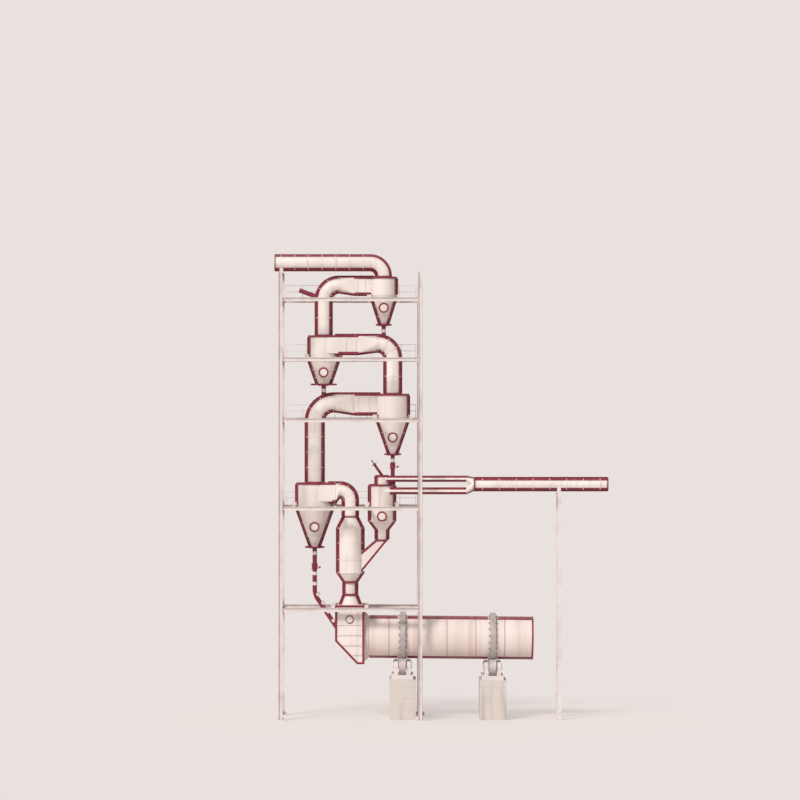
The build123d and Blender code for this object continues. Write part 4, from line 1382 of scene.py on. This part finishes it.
@dataclass
class InletChamber:
    """The box at the kiln's feed end, with its seal ring."""

    left_x: float = -8.767
    right_x: float = -6.392
    toe_x: float = -6.975
    top_z: float = 9.475
    knee_z: float = 6.533
    bottom_z: float = 4.642
    half: float = 2.15
    port_z: float = 6.802
    door: Point = (-7.58, 8.33)

    def build(self) -> None:
        """Adds corner irons, wall ribs, doors and the seal's ring."""
        dress(Finish.VESSEL, "kiln_inlet_chamber")
        dress(Finish.PLATE, "kiln_inlet_seal")
        red = Sheaf("inlet_chamber_red_trim", Finish.SEAM)
        pale = Sheaf("inlet_chamber_ribs", Finish.VESSEL)
        corners = [
            (self.left_x, self.top_z), (self.right_x, self.top_z), (self.right_x, self.bottom_z),
            (self.toe_x, self.bottom_z), (self.left_x, self.knee_z),
        ]
        for side in SIDES:
            y = side * self.half
            for i, ((x1, z1), (x2, z2)) in enumerate(zip(corners, corners[1:] + corners[:1])):
                way = Vector((x2 - x1, z2 - z1)).normalized()
                off = Vector((-way.y, 0, way.x))
                red.angle((x1, y, z1), (x2, y, z2), Vector((0, side, 0)), off, 0.018 + APART * i)
            self._ribs(pale, side)
            self._door(red, pale, side)
        inner = self.half - SEAM_COVER
        for (x, z), across, up in zip(corners, (-1, 1, 1), (1, 1, -1)):
            red.angle((x, -inner, z), (x, inner, z), Vector((across, 0, 0)), UP * up)
        seal = along_x(self.right_x + 0.06, 0, self.port_z)
        pale.hoop(seal, 1.88, 2.04, 0.1)
        red.bolt_ring(seal, 1.97, 0.1)
        red.finish_piece()
        pale.finish_piece()

    def _ribs(self, pale: Sheaf, side: int) -> None:
        """Adds level wall ribs across the chamber's front or back.

        Args:
            pale: The sheaf that takes them.
            side: -1 for the front, 1 for the back.
        """
        low, high = sorted((side * self.half, side * (self.half + 0.09)))
        end_x, tall = self.right_x - 0.14, 0.035
        straight = [(z, self.left_x + 0.14) for z in (8.75, 7.9, 7.05)]
        for z, x in (*straight, (6.2, -8.25), (5.4, -7.35)):
            pale.bar((x, low, z - tall), (end_x, high, z + tall))

    def _door(self, red: Sheaf, pale: Sheaf, side: int) -> None:
        """Adds a round cleaning door in the upper wall.

        Args:
            red: The sheaf that takes its ring.
            pale: The sheaf that takes its lid.
            side: -1 for the front, 1 for the back.
        """
        x, z = self.door
        place = upright(x, side * (self.half + 0.02), z, QUARTER * -side, "X")
        pale.ring(place, [(SPINDLE, -0.01), (0.26, -0.01), (0.26, 0.09), (SPINDLE, 0.1)])
        red.tube(place, 0.22, 0.33, -0.01, 0.05)
        red.bolt_ring(place, 0.295, 0.08, 0.17)


@dataclass
class Calciner:
    """Swirl calciner with its roof, head, burner and meal inlet box."""

    x: float = -4.917
    radius: float = 1.045
    roof_z: float = 19.475
    barrel_z: float = 16.417
    cone_z: float = 15.667
    neck_z: float = 14.875
    neck_radius: float = 0.48
    head_radius: float = 0.5
    head_z: float = 20.225
    burner_tilt: float = math.radians(35)
    burner_reach: float = 1.1

    def level(self, z: float) -> Matrix:
        """Frame on the calciner's axis at a height."""
        return upright(self.x, 0.0, z)

    def build(self) -> None:
        """Adds seams, rims, the burner's fittings and the hatch."""
        dress(Finish.VESSEL, "calciner_shell", "calciner_roof", "calciner_head")
        dress(Finish.SEAM, "burner", "meal_inlet_box")
        red = Sheaf("calciner_red_trim", Finish.SEAM)
        pale = Sheaf("calciner_stiffeners", Finish.VESSEL)
        line = [
            (self.x, self.neck_z, self.neck_radius), (self.x, self.cone_z, self.neck_radius),
            (self.x, self.barrel_z, self.radius), (self.x, self.roof_z - 0.1, self.radius),
        ]
        for side in SIDES:
            red.seam(line, 0.0, side, bolted=line)
        head = [(self.x, self.roof_z, self.head_radius), (self.x, self.head_z - 0.05, self.head_radius)]
        red.seam(head, 0.0, 1)
        roof_rim(red, self.level(self.roof_z), self.radius)
        hole, wall, lip = 0.13, self.head_radius - 0.01, self.head_radius + 0.06
        top, under, low = 0.014, -0.01, -0.14
        cover = [(hole, top), (lip, top), (lip, low), (wall, low), (wall, under), (hole, under)]
        red.ring(self.level(self.head_z), cover)
        red.bolt_ring(self.level(self.head_z - 0.02), self.head_radius - 0.08, 0.06, 0.22)
        for z in (17.6, self.barrel_z):
            pale.stiffener(self.level(z), self.radius)
        hatch(red, pale, facing_front(self.x, -self.radius - 0.06, 16.83), 0.4)
        self._burner(red)
        red.finish_piece()
        pale.finish_piece()

    def _burner(self, red: Sheaf) -> None:
        """Adds the burner's air pipe, valve and lance.

        Args:
            red: The sheaf that takes them.
        """
        way = Vector((-math.sin(self.burner_tilt), 0, math.cos(self.burner_tilt)))
        foot = Vector((self.x, 0, self.head_z))
        elbow, tip = foot + way * 0.6, foot + way * self.burner_reach
        red.strut(elbow, elbow + FRONT * 0.55, 0.07, 16)
        red.strut(elbow + FRONT * 0.5, elbow + FRONT * 0.58, 0.13, 16)
        red.strut(tip, tip + way * 0.45, 0.05, 12)


@dataclass
class TertiaryLine:
    """Tertiary air duct with its fork, branches, seams and end flanges."""

    start_x: float = 2.75
    end_x: float = 13.917
    fork_x: float = 2.083
    y: float = -0.5375
    z: float = 19.5
    radius: float = 0.455
    hoops: int = 8
    upper: tuple[float, float, float, float] = (-4.52, -0.28, 19.942, 0.19)
    lower: tuple[float, float, float, float] = (-4.26, -0.795, 18.95, 0.22)

    def build(self) -> None:
        """Adds seams, flanges and hoops along the duct and seams along its branches."""
        dress(Finish.DUCT, "tertiary_duct", "tertiary_fork", "tertiary_upper_branch", "tertiary_lower_branch")
        red = Sheaf("tertiary_red_trim", Finish.SEAM)
        pale = Sheaf("tertiary_hoops", Finish.DUCT)
        main = [(self.start_x, self.z, self.radius), (self.end_x - 0.03, self.z, self.radius)]
        for side in SIDES:
            red.seam(main, self.y, side, bolted=main)
        for x, y, z, radius in (self.upper, self.lower):
            for side in SIDES:
                red.seam([(x, z, radius), (self.fork_x, z, radius)], y, side, 0.07)
        self._fork(red)
        rim = self.radius + FLANGE_PROUD
        for x in (self.start_x + 0.025, self.end_x - 0.07):
            red.hoop(along_x(x, self.y, self.z), rim - 0.04, rim + 0.03, 0.1)
            red.bolt_ring(along_x(x, self.y, self.z), rim - 0.06, 0.06, 0.24)
        for x in middles(self.start_x, self.end_x, self.hoops):
            pale.stiffener(along_x(x, self.y, self.z), self.radius, DUCT_SUNK)
        red.finish_piece()
        pale.finish_piece()

    def _fork(self, red: Sheaf) -> None:
        """Adds seams over the outside of the fork's two legs.

        Args:
            red: The sheaf that takes them.
        """
        for (_, y, z, radius), side in ((self.upper, 1), (self.lower, -1)):
            edge = [(self.fork_x, z + side * radius), (self.start_x, self.z + side * self.radius)]
            red.ridge(edge[::side], (y + self.y) / 2, 0.09, -0.05, 0.09)


@dataclass
class MealLine:
    """A meal pipe under a cyclone with its clamp bands and, where it has one, its flap valve."""

    number: int
    stage: CycloneStage
    low_z: float
    radius: float
    valve_z: float = 0.0
    beyond: tuple[tuple[float, float], ...] = ()
    band_pitch: float = 0.85
    band_width: float = 0.28

    def build(self) -> None:
        """Adds the top flange's bolts, the flap valve and the bands."""
        name = f"meal_pipe_{self.number}"
        dress(Finish.SEAM, name)
        red = Sheaf(f"{name}_fittings", Finish.SEAM)
        red.bolt_ring(self.stage.level(self.stage.outlet_z - 0.025), 0.37, 0.05, RING_BOLT_PITCH)
        if self.valve_z:
            self._valve(red)
        red.finish_piece()
        self._bands()

    def _bands(self) -> None:
        """Pale clamp bands round the pipe, clear of its valve."""
        pale = Sheaf(f"meal_pipe_{self.number}_bands", Finish.VESSEL)
        x, y = self.stage.x, self.stage.y
        route = [Vector((x, y, self.stage.outlet_z)), Vector((x, y, self.low_z))]
        route += [Vector((far_x, y, z)) for far_x, z in self.beyond]
        done = 0.45
        for first, last in zip(route, route[1:]):
            way = last - first
            turn = way.to_track_quat("Z", "Y").to_matrix().to_4x4()
            while done < way.length - self.band_width:
                spot = first + way.normalized() * done
                if not self.valve_z or abs(spot.z - self.valve_z) > 0.42:
                    place = Matrix.Translation(spot) @ turn
                    pale.hoop(place, self.radius - 0.02, self.radius + 0.012, self.band_width)
                done += self.band_pitch
            done = max(done - way.length, 0.5)
        pale.finish_piece()

    def _valve(self, red: Sheaf) -> None:
        """Adds the flap valve's box with its flanges, shaft, arm and counterweight.

        Args:
            red: The sheaf that takes them.
        """
        x, y, z = self.stage.x, self.stage.y, self.valve_z
        tall = 0.2
        half = self.radius + 0.05
        edge = half + 0.05
        red.bar((x - half, y - half, z - tall), (x + half, y + half, z + tall))
        for level in (z - tall, z + tall):
            red.bar((x - edge, y - edge, level - 0.02), (x + edge, y + edge, level + 0.02))
        front, shaft_z = y - half - 0.16, z + 0.08
        weight_x, weight_z, weight = x + 0.42, z - 0.06, 0.08
        red.strut((x, y + edge, shaft_z), (x, front, shaft_z), 0.03, 12)
        red.strut((x, front, shaft_z), (weight_x, front, weight_z), 0.02, 8)
        red.strut((weight_x, front - weight, weight_z), (weight_x, front + weight, weight_z), 0.09, 16)


@dataclass
class KilnDrum:
    """The turning kiln: cover strips, weld seams, tyre blocks and end ring."""

    feed: tuple[float, float, float] = (-6.958, 0.0, 6.808)
    tilt: float = math.atan(0.01)
    radius: float = 1.75
    length: float = 14.625
    tyres: tuple[float, float] = (3.758, 11.258)
    tyre_half: float = 0.225
    welds: tuple[float, ...] = (1.6, 6.1, 7.9, 9.2, 12.9)
    blocks: int = 20

    def place(self, along: float = 0.0) -> Matrix:
        """Frame on the kiln's axis at a distance from the feed end, its Z along it and its X downwards."""
        return shifted(along_x(*self.feed, self.tilt), z=along)

    def build(self) -> None:
        """Adds everything that turns with the kiln."""
        dress(Finish.PLATE, "kiln_shell")
        dress(Finish.BRICK, "kiln_lining")
        dress(Finish.TYRE, "kiln_tyres")
        red = Sheaf("kiln_red_bands", Finish.SEAM, Body.KILN)
        plate = Sheaf("kiln_shell_rings", Finish.PLATE, Body.KILN)
        steel = Sheaf("kiln_tyre_blocks", Finish.TYRE, Body.KILN)
        first, second = self.tyres
        clear = self.tyre_half + 0.2
        runs = ((1.0, first - clear), (first + clear, second - clear), (second + clear, self.length - 0.06))
        for start, end in runs:
            for middle in (0.0, math.pi):
                red.stave(self.place(), self.radius - 0.02, self.radius + 0.035, middle, start, end)
        red.tube(self.place(self.length), self.radius - 0.028, self.radius + 0.045, -0.14, 0.0)
        inner = self.radius - 0.01
        for along in self.welds:
            plate.hoop(self.place(along), inner, self.radius + 0.014)
        for tyre in self.tyres:
            for along in (tyre - 0.95, tyre + 0.95):
                plate.hoop(self.place(along), inner, self.radius + 0.016, 0.06)
            self._blocks(steel, tyre)
        for sheaf in (red, plate, steel):
            sheaf.finish_piece()

    def _blocks(self, steel: Sheaf, tyre: float) -> None:
        """Adds retaining blocks against both faces of a tyre.

        Args:
            steel: The sheaf that takes them.
            tyre: Distance of the tyre's middle from the feed end.
        """
        wide, long = 0.075, 0.06
        low, high = (self.radius - 0.01, -wide, -long), (self.radius + 0.13, wide, long)
        for side in SIDES:
            middle = self.place(tyre + side * (self.tyre_half + 0.07))
            for turn in middles(0.0, math.tau, self.blocks):
                steel.bar(low, high, middle @ Matrix.Rotation(turn, 4, "Z"))


@dataclass
class RollerStation:
    """One tyre's pair of rollers with bearings, base and pier."""

    drum: KilnDrum
    along: float
    numbers: tuple[int, int]
    reach: float = 2.6803
    spread: float = math.radians(30)
    half_width: float = 0.28
    bearing_from: float = 0.35
    bearing_length: float = 0.34
    base_drop: float = 3.0712

    @property
    def name(self) -> str:
        """The station's name, from the numbers of its rollers."""
        return "station_{}_{}".format(*self.numbers)

    @property
    def drop(self) -> float:
        """How far the rollers' axes lie under the kiln's."""
        return self.reach * math.cos(self.spread)

    def centre(self, side: int, along: float) -> Matrix:
        """Frame on a roller's axis, its Z along the shaft.

        Args:
            side: -1 for the front roller, 1 for the rear one.
            along: Distance from the roller's middle.

        Returns:
            The frame.
        """
        return shifted(self.drum.place(self.along), self.drop, side * self.reach / 2, along)

    def build(self) -> None:
        """Adds hubs that turn with the rollers, and bearing and base fittings that don't."""
        for number, side in zip(self.numbers, SIDES):
            dress(Finish.ROLLER, f"support_roller_{number}")
            hub = Sheaf(f"roller_{number}_hub_plates", Finish.ROLLER, Body[f"ROLLER_{number}"])
            for end in SIDES:
                face = self.centre(side, end * (self.half_width + 0.012))
                hub.hoop(face, 0.165, 0.3, 0.03)
                hub.bolt_ring(face, 0.24, 0.0, 0.18)
            hub.finish_piece()
        self._bearings()
        self._anchors()

    def _bearings(self) -> None:
        """End lids, foot flanges and foot bolts of the bearing housings."""
        trim = Sheaf(f"{self.name}_bearing_fittings", Finish.FRAME)
        outer = self.bearing_from + self.bearing_length
        foot, bolt = self.base_drop - self.drop, 0.03
        for side in SIDES:
            for end in SIDES:
                lid = self.centre(side, end * (outer + 0.035))
                trim.hoop(lid, SPINDLE, 0.26, 0.06)
                trim.bolt_ring(lid, 0.22, 0.03, 0.17)
                middle = self.centre(side, end * (outer - self.bearing_length / 2))
                trim.bar((foot - 0.07, -0.5, -0.17), (foot, 0.5, 0.17), middle)
                for y in (-0.44, 0.44):
                    trim.bar((foot - 0.14, y - bolt, -bolt), (foot - 0.06, y + bolt, bolt), middle)
        trim.finish_piece()

    def _anchors(self) -> None:
        """Anchor bolts along the edges of the base frame."""
        bolts = Sheaf(f"{self.name}_anchor_bolts", Finish.FRAME)
        base = shifted(self.drum.place(self.along), self.base_drop)
        rows, pitch, half = 7, 0.6, 0.04
        for z in (-0.82, 0.82):
            for i in range(rows):
                y = pitch * (i - (rows - 1) / 2)
                bolts.bar((-0.06, y - half, z - half), (0.01, y + half, z + half), base)
        bolts.finish_piece()


@dataclass
class TowerFrame:
    """Walkways, handrails, the ladder and the base fittings of the steel tower."""

    left_x: float = -13.3
    right_x: float = -1.75
    half: float = 2.9
    column: float = 0.34
    levels: tuple[float, ...] = (9.325, 17.692, 24.983, 30.025, 34.983)
    grating_pitch: float = 0.14
    post_pitch: float = 1.4
    rail_height: float = 1.1
    rung_pitch: float = 0.3

    def build(self) -> None:
        """Adds everything that the tower carries."""
        dress(Finish.FRAME, "tower_columns", "tower_side_beams", "tower_end_beams", "tower_braces")
        dress(Finish.FRAME, "vessel_bearers")
        self._walkways()
        self._ladder()
        self._feet()

    def _runs(self, z: float, near: float) -> list[tuple[float, float]]:
        """Stretches of walkway at a height, broken where a vessel stands in the way.

        Args:
            z: The level's height.
            near: Front edge of the walkway.

        Returns:
            Start and end of each stretch.
        """
        runs = [(self.left_x + 0.25, self.right_x - 0.25)]
        for stage in STAGES:
            if stage.y + stage.radius > near - 0.1 and stage.outlet_z < z < stage.roof_z:
                (start, end), reach = runs.pop(), stage.radius + 0.2
                runs += [(start, stage.x - reach), (stage.x + reach, end)]
        return runs

    def _walkways(self) -> None:
        """A grating walkway with its handrail behind the vessels at each main level."""
        deck = Sheaf("walkway_gratings", Finish.FRAME)
        rails = Sheaf("walkway_handrails", Finish.FRAME)
        near, far = self.half - 0.95, self.half - 0.16
        edge, inset, rail = 0.02, 0.1, 0.022
        for z in self.levels[1:]:
            for start, end in self._runs(z, near):
                length = end - start
                for y in (near, far):
                    deck.bar((start, y - edge, z + 0.005), (end, y + edge, z + 0.055))
                place = upright(start + self.grating_pitch / 2, (near + far) / 2, z + 0.03)
                count = int(length / self.grating_pitch)
                deck.row(place, count, self.grating_pitch, (0.025, far - near, 0.03))
                bays = max(1, round(length / self.post_pitch))
                posts = upright(start + inset, far, z + 0.05 + self.rail_height / 2)
                rails.row(posts, bays + 1, (length - 2 * inset) / bays, (0.04, 0.04, self.rail_height))
                for up in (0.6, 1.13):
                    rails.strut((start, far, z + up), (end, far, z + up), rail)
        deck.finish_piece()
        rails.finish_piece()

    def _ladder(self) -> None:
        """Ladder behind the rear right column, from its base plate to the top level."""
        ladder = Sheaf("tower_ladder", Finish.FRAME)
        x, y, reach, stile = self.right_x, self.half + 0.32, 0.2, 0.02
        top = self.levels[-1] + self.rail_height
        for side in SIDES:
            ladder.strut((x + side * reach, y, 0.06), (x + side * reach, y, top), 0.028)
        count = int((top - 0.5) / self.rung_pitch)
        ladder.row(upright(x, y, 0.4, -QUARTER, "Y"), count, self.rung_pitch, (0.025, 0.025, 2 * reach))
        face = self.half + self.column / 2 - 0.01
        for z in (3.2, 6.2, *self.levels):
            ladder.bar((x - reach - stile, y - 0.01, z + 0.2), (x + reach + stile, y + 0.01, z + 0.26))
            ladder.bar((x - 0.03, face, z + 0.205), (x + 0.03, y, z + 0.255))
        ladder.finish_piece()

    def _feet(self) -> None:
        """Anchor nuts and stiffening plates on the column bases."""
        feet = Sheaf("column_base_fittings", Finish.FRAME)
        inner, outer, thick = self.column / 2 - 0.005, 0.37, 0.012
        for x in (self.left_x, self.right_x):
            for y in (-self.half, self.half):
                feet.anchors(x, y)
                for side in SIDES:
                    start, end = sorted((x + side * inner, x + side * outer))
                    feet.bar((start, y - thick, BASE_PLATE_TOP), (end, y + thick, 0.3))
        feet.finish_piece()


@dataclass
class Trestle:
    """Bracing and foot bolts of the tertiary duct's trestle."""

    x: float = 9.8
    y: float = -0.5375
    half: float = 1.6
    top_z: float = 18.795
    foot_z: float = 0.3
    bays: int = 3

    def build(self) -> None:
        """Adds crossed rods between the posts and nuts on their base plates."""
        dress(Finish.FRAME, "duct_trestle")
        rods = Sheaf("trestle_bracing", Finish.FRAME)
        near, far = self.y - self.half, self.y + self.half
        height = (self.top_z - 0.72) / self.bays
        for i in range(self.bays):
            low, high = self.foot_z + i * height, self.foot_z + (i + 1) * height - 0.1
            for side in SIDES:
                x = self.x + side * 0.03
                rods.strut((x, self.y - side * self.half, low), (x, self.y + side * self.half, high), 0.035)
            if i:
                rods.bar((self.x - 0.06, near, low - 0.1), (self.x + 0.06, far, low + 0.02))
        for y in (near, far):
            rods.anchors(self.x, y)
        rods.finish_piece()


@dataclass
class Studio:
    """Camera, light, floor and background."""

    aim: tuple[float, float, float] = (-3.417, 0.0, 26.5)
    span: float = 66.67
    lens: float = 180.0
    sensor: float = 36.0
    sun_height: float = math.radians(52)
    sun_turn: float = math.radians(-32)
    sun_colour: Colour = (1.0, 0.975, 0.95)
    sky_colour: Colour = (1.0, 0.98, 0.96)
    sky_strength: float = 0.62
    floor_radius: float = 900.0

    def build(self) -> None:
        """Sets up the whole studio."""
        self._camera()
        self._sun()
        self._world()
        self._floor()

    def _add(self, name: str, data: bpy.types.ID) -> bpy.types.Object:
        """Puts an object into the scene.

        Args:
            name: The object's name.
            data: What it shows.

        Returns:
            The object.
        """
        made = bpy.data.objects.new(name, data)
        bpy.context.scene.collection.objects.link(made)
        return made

    def _camera(self) -> None:
        """Long lens, straight on from the front."""
        data = bpy.data.cameras.new("camera")
        data.lens = self.lens
        data.sensor_width = self.sensor
        data.clip_end = 4000
        camera = self._add("camera", data)
        x, y, z = self.aim
        camera.location = (x, y - self.span * self.lens / self.sensor, z)
        camera.rotation_euler = (QUARTER, 0, 0)
        bpy.context.scene.camera = camera

    def _sun(self) -> None:
        """Soft sun from the upper left in front."""
        data = bpy.data.lights.new("sun", "SUN")
        data.energy = 2.2
        data.angle = math.radians(18)
        data.color = self.sun_colour
        self._add("sun", data).rotation_euler = (self.sun_height, 0, self.sun_turn)

    def _world(self) -> None:
        """Paper colour for the camera and reflections, softer light for the rest."""
        world = bpy.data.worlds.new("paper")
        world.use_nodes = True
        tree = Nodes(world.node_tree)
        sky = tree.node("ShaderNodeBackground", {"Color": self.sky_colour, "Strength": self.sky_strength})
        paper = tree.node("ShaderNodeBackground", {"Color": PAPER})
        mix = tree.node("ShaderNodeMixShader", {0: tree.seen(), 1: sky.outputs[0], 2: paper.outputs[0]})
        tree.node("ShaderNodeOutputWorld", {"Surface": mix.outputs[0]})
        bpy.context.scene.world = world

    def _floor(self) -> None:
        """Level floor that catches the shadow."""
        mesh = bmesh.new()
        bmesh.ops.create_circle(mesh, cap_ends=True, segments=96, radius=self.floor_radius)
        data = bpy.data.meshes.new("floor")
        mesh.to_mesh(data)
        mesh.free()
        floor = self._add("floor", data)
        data.materials.append(Finish.FLOOR.material())


STAGES = (
    CycloneStage(
        number=1, x=-4.775, y=0.275, roof_z=36.75, radius=1.05, barrel=1.625, cone=2.4, outlet_radius=0.33,
        lip_radius=0.64, inlet_height=1.417, inlet_side=-1, hatch_drop=0.95,
    ),
    CycloneStage(
        number=2, x=-9.792, y=0.945, roof_z=31.875, radius=1.233, barrel=2.125, cone=2.0, outlet_radius=0.565,
        lip_radius=1.07, inlet_height=1.5, inlet_side=1, hatch_drop=0.95,
    ),
    CycloneStage(
        number=3, x=-4.025, y=0.142, roof_z=27.0, radius=1.308, barrel=2.167, cone=2.9, outlet_radius=0.34,
        lip_radius=0.675, inlet_height=1.667, inlet_side=-1, hatch_drop=1.45,
    ),
    CycloneStage(
        number=4, x=-10.542, y=0.97, roof_z=19.583, radius=1.5, barrel=2.166, cone=3.25, outlet_radius=0.375,
        lip_radius=0.785, inlet_height=1.541, inlet_side=1, hatch_drop=1.5,
    ),
)


def ducts() -> list[GasDuct]:
    """Lists the three risers and the gooseneck.

    Returns:
        The gas ducts from the top down.
    """
    first, second, third, fourth = STAGES
    risers = (
        ("riser_stage_2_to_1", second, 0.612, 1.25, 1, first, 0.7),
        ("riser_stage_3_to_2", third, 0.65, 1.25, -1, second, 0.8),
        ("riser_stage_4_to_3", fourth, 0.7, 1.58, 1, third, 0.9),
    )
    mixing = MixingTrain()
    foot = (mixing.x, 0.0, mixing.top_z)
    found = [
        GasDuct(name, under.x, under.y, under.roof_z, *sizes) for name, under, *sizes in risers
    ]
    return [*found, GasDuct("gooseneck", *foot, mixing.neck_radius, 0.85, -1, fourth, 1.0)]


def meal_lines() -> list[MealLine]:
    """Lists the four meal pipes.

    Returns:
        The pipes from the top down.
    """
    first, second, third, fourth = STAGES
    return [
        MealLine(1, first, 31.85, 0.18),
        MealLine(2, second, 27.0, 0.2),
        MealLine(3, third, 19.9, 0.17, 21.0),
        MealLine(4, fourth, 10.7, 0.19, 12.6, ((-8.767, 7.583),)),
    ]


def build_plant() -> None:
    """Dresses the whole plant."""
    drum = KilnDrum()
    stations = [RollerStation(drum, tyre, numbers) for tyre, numbers in zip(drum.tyres, ((1, 2), (3, 4)))]
    for assembly in (
        *STAGES, *ducts(), *meal_lines(), GasOutlet(), MixingTrain(), InletChamber(), Calciner(),
        TertiaryLine(), drum, *stations, TowerFrame(), Trestle(),
    ):
        assembly.build()
    dress(Finish.SEAM, "feed_spout")
    dress(Finish.FRAME, "roller_bearings", "roller_bases")
    dress(Finish.CONCRETE, "kiln_piers")


def main() -> None:
    """Builds the studio and the plant."""
    logging.basicConfig(level=logging.INFO, format="%(message)s")
    bpy.context.scene.view_settings.view_transform = "Standard"
    Studio().build()
    build_plant()
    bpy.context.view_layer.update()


if __name__ == "__main__":
    main()
